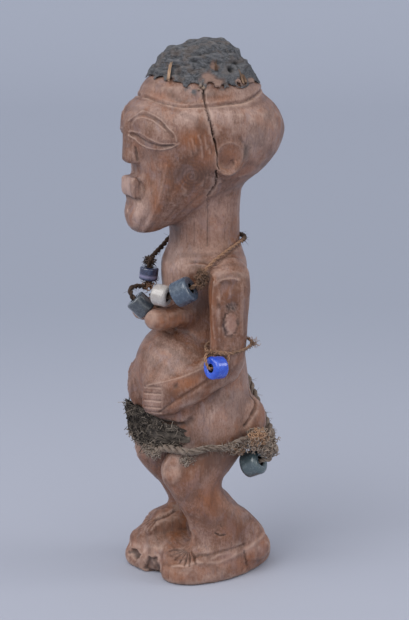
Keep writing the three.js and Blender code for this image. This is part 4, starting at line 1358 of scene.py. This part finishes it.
NECK_TUFTS = (
    Tuft((21.1, -10.8, 123.4), (1.3, 1.8, 3.6), 260, 1.7, 0.22, 1.0, 51, 0.5, (0.1, -0.1, -0.4), 0.3),
    Tuft((21.6, -9.5, 125), (0.6, 1.6, 1.4), 40, 1.4, 0.16, 0.8, 55, 0.4, rust=0.3),
    Tuft((-7.6, -19.6, 125.2), (1.5, 1.6, 1.4), 110, 2, 0.17, 0.3, 52),
    Tuft((-7.6, -20.6, 116.6), (1.4, 1.6, 1.3), 60, 3.2, 0.17, 0.8, 53, 0.9, rust=0.7),
    Tuft((4.6, -21.2, 111.4), (0.9, 0.9, 1.6), 50, 2, 0.15, 0.5, 54),
)
ARM_TUFTS = (
    Tuft((27.4, -9.8, 95.6), (0.9, 1.1, 0.9), 90, 1.7, 0.15, 0.6, 61),
    Tuft((25.5, 8, 97.2), (0.6, 0.8, 0.6), 34, 3, 0.11, 0.5, 62, 0.4, (0.2, 0.8, 0.4)),
)
WAIST_TUFTS = (
    Tuft((4, -24.4, 53.4), (9, 1.6, 1.6), 240, 2.4, 0.17, 0.9, 76, 0.5, (0.5, -0.3, -0.2)),
    Tuft((-10, -25, 55.6), (6, 1.6, 1.4), 110, 2.4, 0.17, 0.9, 77, 0.5, (0.5, -0.3, -0.2)),
    Tuft((22.8, 12, 58.2), (2.6, 5.4, 3.4), 330, 2.8, 0.32, 0.75, 71, 0.9, (0.3, 0, 0.3), 0.1),
    Tuft((24, 11.6, 59.8), (1.6, 3, 1.6), 190, 2.4, 0.32, 0.75, 78, 0.9, (0.4, 0, 0.3), 0.7),
    Tuft((22.6, 16.6, 55), (2.4, 3.4, 4), 260, 2.6, 0.32, 1.0, 72, 0.9, (0.2, 0.2, -0.3), 0.05),
    Tuft((21.4, 5, 55.6), (1.4, 4, 2), 150, 2.4, 0.24, 0.6, 73, 0.8, (0.1, -0.3, -0.4), 0.2),
    Tuft((17.8, -14.6, 52.6), (1.4, 3.6, 1.6), 200, 2.4, 0.2, 1.0, 74, 0.6, (0.1, 0, -0.7)),
    Tuft((22.8, 0, 56.8), (0.8, 2.4, 1), 50, 1.6, 0.16, 0.8, 75, 0.5),
)


def twist(weave, line, radius, pitch, tone, closed=False, sides=9, worn=None, fade=0.4):
    """Two plies wound round a line, as cord is laid. Worn parts are thin, with fade added to their tone."""
    step = pitch / TWIST_STEPS
    line = even_steps(line, step, closed)
    count = len(line)
    turns = max(1, round(step * count / pitch)) if closed else step * count / pitch
    along = directions(line, closed)
    side = steady_sides(along, TWIST_LEAN)
    other = np.cross(along, side)
    slip = 0.0
    if closed:
        last = side[-1] - along[0] * np.dot(side[-1], along[0])
        slip = math.atan2(np.dot(last, other[0]), np.dot(last, side[0]))
    share = np.arange(count) / count
    random = np.random.default_rng(1)
    thin = worn(line) if worn else np.zeros(count)
    radius = radius * (1 - 0.32 * thin)
    for ply in range(2):
        angle = (2 * math.pi * (turns * share + ply / 2) - slip * share)[:, None]
        path = line + 0.5 * radius[:, None] * (np.cos(angle) * side + np.sin(angle) * other)
        thick = 0.56 * radius * (1 + 0.12 * lumps(path, 5, 1 + ply))
        shade = tone + 0.12 * lumps(path, 6, 8 + ply) + random.normal(0, 0.04) + fade * thin
        red = max(0, 1.9 * fade) * thin
        weave.tube(path, thick, sides, np.stack([shade, shade * 0, red, shade * 0 + 1], 1), closed)


def over_shoulder(places):
    """1 where the necklace lies on the left shoulder, 0 elsewhere."""
    x, _, z = places.T
    return rise(x, 8, 15) * rise(z, 119, 122)


def beside_hide(places):
    """1 where the waist rope is bare between the hide and the tuft, 0 elsewhere."""
    x, y, _ = places.T
    return rise(x, 16, 19) * band(y, -15, -11, 3, 7)


def fuzz(weave, line, radius, count, length, thin, tone, seed):
    """Loose fibres that stand out of a cord and droop a little."""
    random = np.random.default_rng(seed)
    t = np.linspace(0, 1, 5)[:, None]
    for _ in range(count):
        start = line[random.integers(len(line))]
        way = unit(random.normal(0, 1, 3))
        long = length * random.uniform(0.4, 1.2)
        bend = random.normal(0, 0.5, 3)
        path = start + way * radius * 0.7
        path = path + (way * t + bend * t * t * 0.6 + np.array((0, 0, -FIBRE_DROOP)) * t * t) * long
        shade = np.clip(tone + random.normal(0, 0.15), 0, 1)
        weave.tube(path, thin * np.linspace(1, 0.4, 5), 3, (shade, 0, 0, 1))


def wrap(weave, line, radius, count, thin, tone, seed):
    """Single fibres that lie along a cord and wind slowly round it."""
    random = np.random.default_rng(seed)
    spots = even_steps(line, 0.6, True)
    for _ in range(count):
        start = random.integers(len(spots))
        steps = random.integers(8, 22)
        run = spots[(start + np.arange(steps)) % len(spots)]
        along = directions(run)
        side = np.cross(along, TWIST_LEAN)
        side /= np.linalg.norm(side, axis=1)[:, None]
        turn = (random.uniform(0, 6.3) + np.linspace(0, random.uniform(1.5, 5), steps))[:, None]
        out = radius * (0.92 + 0.12 * np.sin(np.linspace(0, math.pi, steps)) * random.uniform(0, 2.2))
        path = run + out[:, None] * (np.cos(turn) * side + np.sin(turn) * np.cross(along, side))
        weave.tube(path, thin, 3, (np.clip(tone + random.normal(0, 0.2), 0, 1), 0, 0, 1))


def curls(weave, tuft):
    """Curly fibres that start inside an egg-shaped place and wander outwards."""
    random = np.random.default_rng(tuft.seed)
    centre, radii = np.array(tuft.centre, float), np.array(tuft.radii, float)
    t = np.linspace(0, 1, 9)
    for _ in range(tuft.count):
        out = unit(random.normal(0, 1, 3))
        start = centre + out * radii * random.uniform(0.25, 0.95)
        way = unit(out * random.uniform(0.3, 1.0) + np.array(tuft.lean) + random.normal(0, 0.45, 3))
        side = unit(np.cross(way, random.normal(0, 1, 3)))
        other = np.cross(way, side)
        long = tuft.length * random.uniform(0.5, 1.2)
        turn = (2 * math.pi * (t * random.uniform(0.6, 2.0) + random.random()))[:, None]
        wide = (tuft.curl * random.uniform(0.4, 1.2) * np.sqrt(t))[:, None]
        path = start + np.outer(t * long, way) + wide * np.cos(turn) * side + wide * np.sin(turn) * other
        shade = np.clip(tuft.tone + random.normal(0, 0.24), 0, 1)
        width = tuft.thick * random.uniform(0.7, 1.3) * np.linspace(1, 0.6, 9)
        red = np.clip(tuft.rust + random.normal(0, 0.15), 0, 1)
        weave.tube(path, width, 4, (shade, 0, red, 1))


def twist_necklace():
    """The necklace's cord, its loose fibres and its frayed knots."""
    weave = Weave()
    line = smooth_line(NECKLACE_ROUTE, ROUTE_STEP, True)
    twist(weave, line, radius=0.95, pitch=4.4, tone=0.35, closed=True, worn=over_shoulder)
    fuzz(weave, line, radius=0.8, count=300, length=1.6, thin=0.07, tone=0.6, seed=5)
    for tuft in NECK_TUFTS:
        curls(weave, tuft)
    return weave.mesh("necklace")


def twist_arm_cord():
    """The cord round the arm and the loop that holds its bead."""
    weave = Weave()
    line = smooth_line(ARM_ROUTE, ROUTE_STEP, True)
    twist(weave, line, radius=0.65, pitch=3, tone=0.35, closed=True)
    loop = smooth_line(LOOP_ROUTE, ROUTE_STEP, True)
    twist(weave, loop, radius=0.58, pitch=2.8, tone=0.7, closed=True)
    fuzz(weave, line, radius=0.65, count=90, length=1.8, thin=0.06, tone=0.5, seed=6)
    for tuft in ARM_TUFTS:
        curls(weave, tuft)
    return weave.mesh("arm")


def twist_waist_rope():
    """The rope round the hips, the end that holds the tuft bead, and the frayed tufts."""
    weave = Weave()
    line = smooth_line(WAIST_ROUTE, ROUTE_STEP, True)
    twist(weave, line, radius=1.5, pitch=6, tone=0.45, closed=True, sides=10, worn=beside_hide, fade=-0.12)
    twist(weave, smooth_line(HANGER_ROUTE, ROUTE_STEP), radius=0.9, pitch=4, tone=0.5)
    fuzz(weave, line, radius=1.5, count=700, length=2, thin=0.09, tone=0.6, seed=7)
    wrap(weave, line, radius=1.2, count=170, thin=0.14, tone=0.75, seed=8)
    for tuft in WAIST_TUFTS:
        curls(weave, tuft)
    return weave.mesh("waist")


# Hide: the cut strip, and the hair matted over it

HIDE_LOW = (
    (-22.4, -13.4, 60), (-18.8, -22.6, 58.6), (-12.6, -25.4, 58.6), (-5.4, -25.4, 57.2), (2, -24.2, 56.6),
    (8.6, -22.6, 57.2), (14, -19.2, 58), (18.2, -15, 58.4),
)
HIDE_HIGH = (
    (-23.2, -15.4, 64.4), (-19.6, -24.2, 66), (-13.4, -26.2, 67), (-5.6, -25.4, 66.4), (2.4, -23.4, 65.2),
    (8.8, -21.8, 64.8), (14.4, -18.8, 64.6), (18.4, -14.8, 62.6),
)
HIDE_LENGTH = 58
HIDE_WIDTH = 10
HIDE_EDGES = (smooth_line(HIDE_LOW, 0.5), smooth_line(HIDE_HIGH, 0.5))
STRAND_TAPER = np.array((0.5, 0.9, 1, 1, 1, 1, 0.8, 0.4))


def place_along(line, share):
    """Places on a line, where share runs from 0 at its start to 1 at its end."""
    stops = np.linspace(0, 1, len(line))
    return np.stack([np.interp(share, stops, line[:, axis]) for axis in range(3)], -1)


def hide_place(along, up, out):
    """A place on the strip: along and up it from 0 to 1, and out from it in mm."""
    low, high = HIDE_EDGES
    bottom, top = place_along(low, along), place_along(high, along)
    ahead = place_along(low, np.minimum(along + 0.02, 1)) - place_along(low, np.maximum(along - 0.02, 0))
    outward = np.stack([ahead[..., 1], -ahead[..., 0], ahead[..., 0] * 0], -1)
    outward /= np.linalg.norm(outward, axis=-1)[..., None]
    up = np.asarray(up)[..., None]
    return bottom + (top - bottom) * up + outward * np.asarray(out)[..., None]


def cut_hide():
    """The strip's mesh, with ragged edges and an end that is tucked in."""
    columns, rows = 90, 12
    along, up = np.meshgrid(np.linspace(0, 1, columns), np.linspace(-0.1, 1.15, rows), indexing="ij")
    along, up = along.ravel(), up.ravel()
    flat = np.stack([along * HIDE_LENGTH, up * HIDE_WIDTH, along * 0], 1)
    ragged = 0.12 * lumps(flat, 3.5, 31) * (np.abs(up - 0.5) * 2) ** 3
    end = rise(along, 0.72, 1.0)
    height = 0.3 + (up + ragged - 0.3) * (1 - 0.3 * end)
    places = hide_place(along, height, 0.7 + 0.35 * lumps(flat, 4, 32) - 2.4 * end)
    faces = []
    for column in range(columns - 1):
        for row in range(rows - 1):
            here = column * rows + row
            faces.append((here, here + rows, here + rows + 1, here + 1))
    mesh = bpy.data.meshes.new("hide")
    mesh.from_pydata((places * MM).tolist(), [], faces)
    set_tone(mesh, "tone", 0.1 + 0.14 * lumps(flat, 2, 33), 0, 0, 1)
    return mesh


def wave(t, waves, start):
    """A number of waves between -1 and 1 while t goes from 0 to 1."""
    return np.sin(2 * math.pi * (t * waves + start))


def lay_strand(weave, random):
    """One matted hair: it hangs near the far end of the strip, and lies along the rest of it."""
    t = np.linspace(0, 1, 8)
    start = random.uniform(0, 0.98) ** 1.15
    room = 1.0 + 0.3 * band(start, 0.35, 0.6, 0.75, 0.95)
    height = random.uniform(-0.3, room)
    depth = random.uniform(-2.4, 1.5) - 2.6 * rise(start, 0.6, 1.0)
    if random.random() > rise(start, 0.12, 0.4):
        along = start + random.normal(0, 0.03) * t + 0.012 * wave(t, 1.6, random.random())
        up = height - random.uniform(0.3, 0.9) * t
    else:
        along = start + random.uniform(0.06, 0.2) * (random.choice((-1, 1)) if start < 0.75 else -1) * t
        up = height + random.normal(0, 0.14) * t
        up += random.uniform(0.02, 0.09) * wave(t, random.uniform(1, 2.5), random.random())
    out = depth + 0.4 * wave(t, random.uniform(0.8, 2), random.random())
    shade = np.clip(random.normal(0.13, 0.12) + (0.45 if random.random() < 0.025 else 0), 0, 1)
    thick = random.uniform(0.12, 0.3) * (1 - 0.6 * rise(start, 0.7, 1.0))
    path = hide_place(np.clip(along, 0, 1), np.clip(up, -0.4, room), out)
    weave.tube(path, thick * STRAND_TAPER, 4, (shade, 0, 0, 1))


def lay_stray(weave, random):
    """One short hair that stands out of the strip at an edge."""
    t = np.linspace(0, 1, 8)[:, None]
    start = random.uniform(0, 0.95)
    height = random.choice((-0.25, -0.1, 1.0)) + random.normal(0, 0.1)
    foot = hide_place(np.array([start]), np.array([height]), np.array([random.uniform(-0.5, 1.5)]))[0]
    way = np.array((random.normal(0, 0.5), random.normal(-0.2, 0.4), random.normal(-0.2, 0.6)))
    bend = random.normal(0, 0.5, 3)
    path = foot + (way * t + bend * (t * t)) * random.uniform(0.8, 2)
    weave.tube(path, 0.13, 3, (np.clip(random.normal(0.45, 0.35), 0, 1), 0, 0, 1))


def hide_hair(count):
    """The hair's mesh: matted strands, and a quarter as many strays."""
    random = np.random.default_rng(41)
    weave = Weave()
    for _ in range(count):
        lay_strand(weave, random)
    for _ in range(count // 4):
        lay_stray(weave, random)
    return weave.mesh("hair")


# Stage

FLOOR_REACH = 6.0
BACK_DISTANCE = 1.6
BACK_BEND = 1.5
BACK_HEIGHT = 5.0
BEND_STEPS = 24
SKY_COLOR = (0.93, 0.96, 1.0, 1)

# Lights: where each comes from, how wide it is in degrees, and its share of the key's strength

LIGHTS = (
    ("key light", (0.45, -1.0, 0.95), 50, 0.86),
    ("side light", (1.0, 0.35, 1.0), 80, 0.34),
    ("left glint", (-0.4, -0.9, 0.3), 22, 0.16),
    ("right glint", (0.45, 0.8, 0.5), 22, 0.24),
)


def set_camera(scene):
    """The camera, where the photograph was taken from."""
    camera = bpy.data.objects.new("camera", bpy.data.cameras.new("camera"))
    scene.collection.objects.link(camera)
    place = Vector(CAMERA_PLACE)
    camera.location = place
    camera.rotation_euler = (Vector(CAMERA_TARGET) - place).to_track_quat("-Z", "Y").to_euler()
    camera.data.sensor_width = SENSOR
    camera.data.lens = FOCAL_PIXELS / IMAGE_HEIGHT * SENSOR
    camera.data.clip_end = 50
    scene.camera = camera
    scene.view_settings.view_transform = "Standard"


def floor_material(settings, away, across):
    """A pale floor that darkens a little into the distance and towards one side, as painted shade."""
    shade = Shade("pale floor")
    into = shade.along(away / 0.5)
    aside = shade.along(across / 0.6)
    color = shade.mix(shade.ramp(into, -0.1, 1.0), settings.floor, settings.back)
    color = shade.mix(shade.ramp(aside, -0.6, 0.6, 0.16, 0), color, settings.back)
    return shade.finish(color, 0.9, Specular_IOR_Level=0.2)


def lay_floor(scene, settings):
    """A floor that bends up behind the figure, square to the camera."""
    away = Vector(CAMERA_TARGET) - Vector(CAMERA_PLACE)
    away.z = 0
    away.normalize()
    across = Vector((-away.y, away.x, 0))
    profile = [(-FLOOR_REACH, 0.0), (BACK_DISTANCE, 0.0)]
    for t in np.linspace(0, math.pi / 2, BEND_STEPS)[1:]:
        profile.append((BACK_DISTANCE + BACK_BEND * math.sin(t), BACK_BEND * (1 - math.cos(t))))
    profile.append((BACK_DISTANCE + BACK_BEND, BACK_HEIGHT))
    corners = []
    for distance, height in profile:
        for side in (-FLOOR_REACH, FLOOR_REACH):
            corners.append(away * distance + across * side + Vector((0, 0, height)))
    faces = [(2 * i, 2 * i + 2, 2 * i + 3, 2 * i + 1) for i in range(len(profile) - 1)]
    mesh = bpy.data.meshes.new("floor")
    mesh.from_pydata(corners, [], faces)
    mesh.shade_smooth()
    mesh.materials.append(floor_material(settings, away, across))
    floor = bpy.data.objects.new("floor", mesh)
    scene.collection.objects.link(floor)


def hang_lights(scene, settings):
    """An even pale sky and broad soft lights."""
    world = bpy.data.worlds.new("studio")
    world.use_nodes = True
    sky = world.node_tree.nodes["Background"]
    sky.inputs["Color"].default_value = SKY_COLOR
    sky.inputs["Strength"].default_value = settings.sky
    scene.world = world
    for name, spot, spread, share in LIGHTS:
        data = bpy.data.lights.new(name, "SUN")
        data.angle = math.radians(spread)
        data.energy = settings.key * share
        lamp = bpy.data.objects.new(name, data)
        lamp.rotation_euler = (-Vector(spot)).to_track_quat("-Z", "Y").to_euler()
        scene.collection.objects.link(lamp)


# Settings

def color_setting(name, text, value):
    return FloatVectorProperty(
        name=name, description=text, default=value, subtype="COLOR", size=3, min=0, max=1
    )


def size_setting(text, value, low, high):
    return FloatProperty(name="Face size", description=text, default=value, min=low, max=high)


class FigureSettings(bpy.types.PropertyGroup):
    face_size: size_setting("Size of the faces of the rough skin, in mm", 1.02, 0.7, 3)
    deep: color_setting("Deep", "Darker wood", (0.165, 0.068, 0.036))
    light: color_setting("Light", "Lighter wood under grey bloom", (0.45, 0.292, 0.24))
    orange: color_setting("Orange", "Wood where handling has worn it", (0.29, 0.095, 0.03))
    bloom: color_setting("Bloom", "Grey violet bloom on the handled wood", (0.27, 0.19, 0.19))
    # Also painted as shade under the belly and in the gaps by the arm and the waist rope
    stain: color_setting("Stain", "Dark grey stain", (0.105, 0.082, 0.075))
    grain: color_setting("Grain", "Grain lines and flecks", (0.08, 0.037, 0.025))
    # Also painted as highlight along raised lines, ridges and the knee
    pale: color_setting("Pale", "Rubbed edges and pale breaks", (0.6, 0.41, 0.33))
    scar: color_setting("Scar", "The bare wood of the scar on the arm", (0.52, 0.3, 0.24))
    smear: color_setting("Smear", "Resin rubbed on the rim of the cap", (0.075, 0.075, 0.082))
    # Also painted as shade: near black in the cut grooves, pits and hollows
    crack: color_setting("Crack", "Cracks and the bottom of cuts", (0.012, 0.009, 0.008))


class CrownSettings(bpy.types.PropertyGroup):
    face_size: size_setting("Size of the faces, in mm", 0.65, 0.4, 2)
    deep: color_setting("Deep", "Darker resin", (0.026, 0.027, 0.032))
    light: color_setting("Light", "Lighter resin", (0.13, 0.134, 0.148))
    # Laid on the ridges as dust and as painted highlight
    dust: color_setting("Dust", "Dust on the ridges", (0.25, 0.245, 0.25))
    earth: color_setting("Earth", "Brown earth in the resin", (0.15, 0.112, 0.092))
    # Also painted as shade in the hole and the hollows
    pit: color_setting("Pit", "Deep hollows", (0.012, 0.012, 0.014))
    wood: color_setting("Wood", "Wood that shows through", (0.34, 0.215, 0.17))
    lump: color_setting("Lump", "Pale lump", (0.42, 0.3, 0.22))


class HideSettings(bpy.types.PropertyGroup):
    strands: IntProperty(name="Strands", description="How many strands of hair lie on the strip",
                         default=1700, min=0, max=3000)
    deep: color_setting("Deep", "Dark hair", (0.02, 0.016, 0.014))
    light: color_setting("Light", "Lighter hair", (0.4, 0.33, 0.27))
    dust: color_setting("Dust", "Dust", (0.12, 0.1, 0.09))


class CordSettings(bpy.types.PropertyGroup):
    dark: color_setting("Dark", "Darkest fibre", (0.035, 0.022, 0.016))
    brown: color_setting("Brown", "Brown fibre", (0.125, 0.083, 0.062))
    tan: color_setting("Tan", "Tan fibre", (0.4, 0.225, 0.14))
    straw: color_setting("Straw", "Palest fibre", (0.36, 0.3, 0.255))
    rust: color_setting("Rust", "Orange brown of the tuft", (0.5, 0.285, 0.165))


class StageSettings(bpy.types.PropertyGroup):
    floor: color_setting("Floor", "Pale floor round the figure", (0.46, 0.478, 0.56))
    # Its darker colour for the far floor and backdrop is painted shade
    back: color_setting("Back", "Far floor and backdrop", (0.335, 0.36, 0.435))
    key: FloatProperty(name="Key light", description="Strength of the soft lights", default=1.75, min=0)
    sky: FloatProperty(name="Sky", description="Strength of the light from all round", default=0.52, min=0)


# Operators

class FIGURE_OT_stage(bpy.types.Operator):
    """Sets the camera, the pale floor and the soft studio light"""
    bl_idname = "figure.stage"
    bl_label = "Stage"

    def execute(self, context):
        scene = context.scene
        set_camera(scene)
        lay_floor(scene, scene.figure_stage)
        hang_lights(scene, scene.figure_stage)
        return {"FINISHED"}


class FIGURE_OT_wood(bpy.types.Operator):
    """Carves the wood figure with its lines, cuts, cracks and worn places"""
    bl_idname = "figure.wood"
    bl_label = "Wood figure"

    def execute(self, context):
        settings = context.scene.figure_wood
        place_piece("wood_figure", carve_figure(settings), wood_material(settings), ("figure",))
        return {"FINISHED"}


class FIGURE_OT_crown(bpy.types.Operator):
    """Packs the rough resin on the head and sticks the slivers in it"""
    bl_idname = "figure.crown"
    bl_label = "Resin crown"

    def execute(self, context):
        settings = context.scene.figure_crown
        place_piece("resin_mass", pack_resin(settings), resin_material(settings), ("resin_crown",))
        split = fibre_material("split wood", (0.085, 0.045, 0.028), (0.5, 0.33, 0.22), 0.7)
        for name, *form in SLIVERS:
            place_piece(name.replace("peg", "sliver"), splinter(name, *form), split, (name,))
        return {"FINISHED"}


class FIGURE_OT_beads(bpy.types.Operator):
    """Makes the six glass beads"""
    bl_idname = "figure.beads"
    bl_label = "Beads"

    def execute(self, context):
        for seed, bead in enumerate(BEADS):
            glass = glass_material(bead.name + " glass", bead.color, bead.light, bead.grime)
            place_piece(bead.name + "_glass", bead_mesh(bead, seed), glass, (bead.name,))
        return {"FINISHED"}


class FIGURE_OT_cords(bpy.types.Operator):
    """Twists the necklace, the arm cord and the waist rope, with their knots and loose fibres"""
    bl_idname = "figure.cords"
    bl_label = "Cords"

    def execute(self, context):
        settings = context.scene.figure_cords
        brown = fibre_material("neck fibre", settings.dark, settings.brown, 0.9, settings.tan)
        tan = fibre_material("arm fibre", settings.brown, settings.tan, 0.9, settings.rust)
        pale = fibre_material("rope fibre", settings.brown, settings.straw, 0.95, settings.rust)
        place_piece("necklace_twist", twist_necklace(), brown, ("necklace_cord",))
        place_piece("arm_twist", twist_arm_cord(), tan, ("arm_cord",))
        place_piece("waist_rope", twist_waist_rope(), pale, ("waist_cord",))
        return {"FINISHED"}


class FIGURE_OT_hide(bpy.types.Operator):
    """Cuts the strip of hide at the front of the hips and mats its hair"""
    bl_idname = "figure.hide"
    bl_label = "Hide strip"

    def execute(self, context):
        settings = context.scene.figure_hide
        strip = place_piece("hide_skin", cut_hide(), hide_material(settings), ("hide_strip",))
        fur = fibre_material("matted hair", settings.deep, settings.light, 0.85)
        hair = place_piece("hide_hair", hide_hair(settings.strands), fur)
        return {"FINISHED"}


class FIGURE_PT_panel(bpy.types.Panel):
    """Lists the pieces of the figure"""
    bl_idname = "FIGURE_PT_panel"
    bl_label = "Carved figure"
    bl_space_type = "VIEW_3D"
    bl_region_type = "UI"
    bl_category = "Carved figure"

    def draw(self, context):
        for operator in OPERATORS:
            self.layout.operator(operator.bl_idname)


SETTINGS = {
    "figure_stage": StageSettings,
    "figure_wood": FigureSettings,
    "figure_crown": CrownSettings,
    "figure_hide": HideSettings,
    "figure_cords": CordSettings,
}
OPERATORS = (
    FIGURE_OT_stage, FIGURE_OT_wood, FIGURE_OT_crown, FIGURE_OT_beads, FIGURE_OT_cords, FIGURE_OT_hide,
)
CLASSES = (*SETTINGS.values(), *OPERATORS, FIGURE_PT_panel)


def register():
    for item in CLASSES:
        bpy.utils.register_class(item)
    for name, group in SETTINGS.items():
        setattr(bpy.types.Scene, name, PointerProperty(type=group))


def unregister():
    for name in SETTINGS:
        delattr(bpy.types.Scene, name)
    for item in reversed(CLASSES):
        bpy.utils.unregister_class(item)


def main():
    register()
    bpy.ops.figure.stage()
    bpy.ops.figure.wood()
    bpy.ops.figure.crown()
    bpy.ops.figure.beads()
    bpy.ops.figure.cords()
    bpy.ops.figure.hide()


if __name__ == "__main__":
    main()
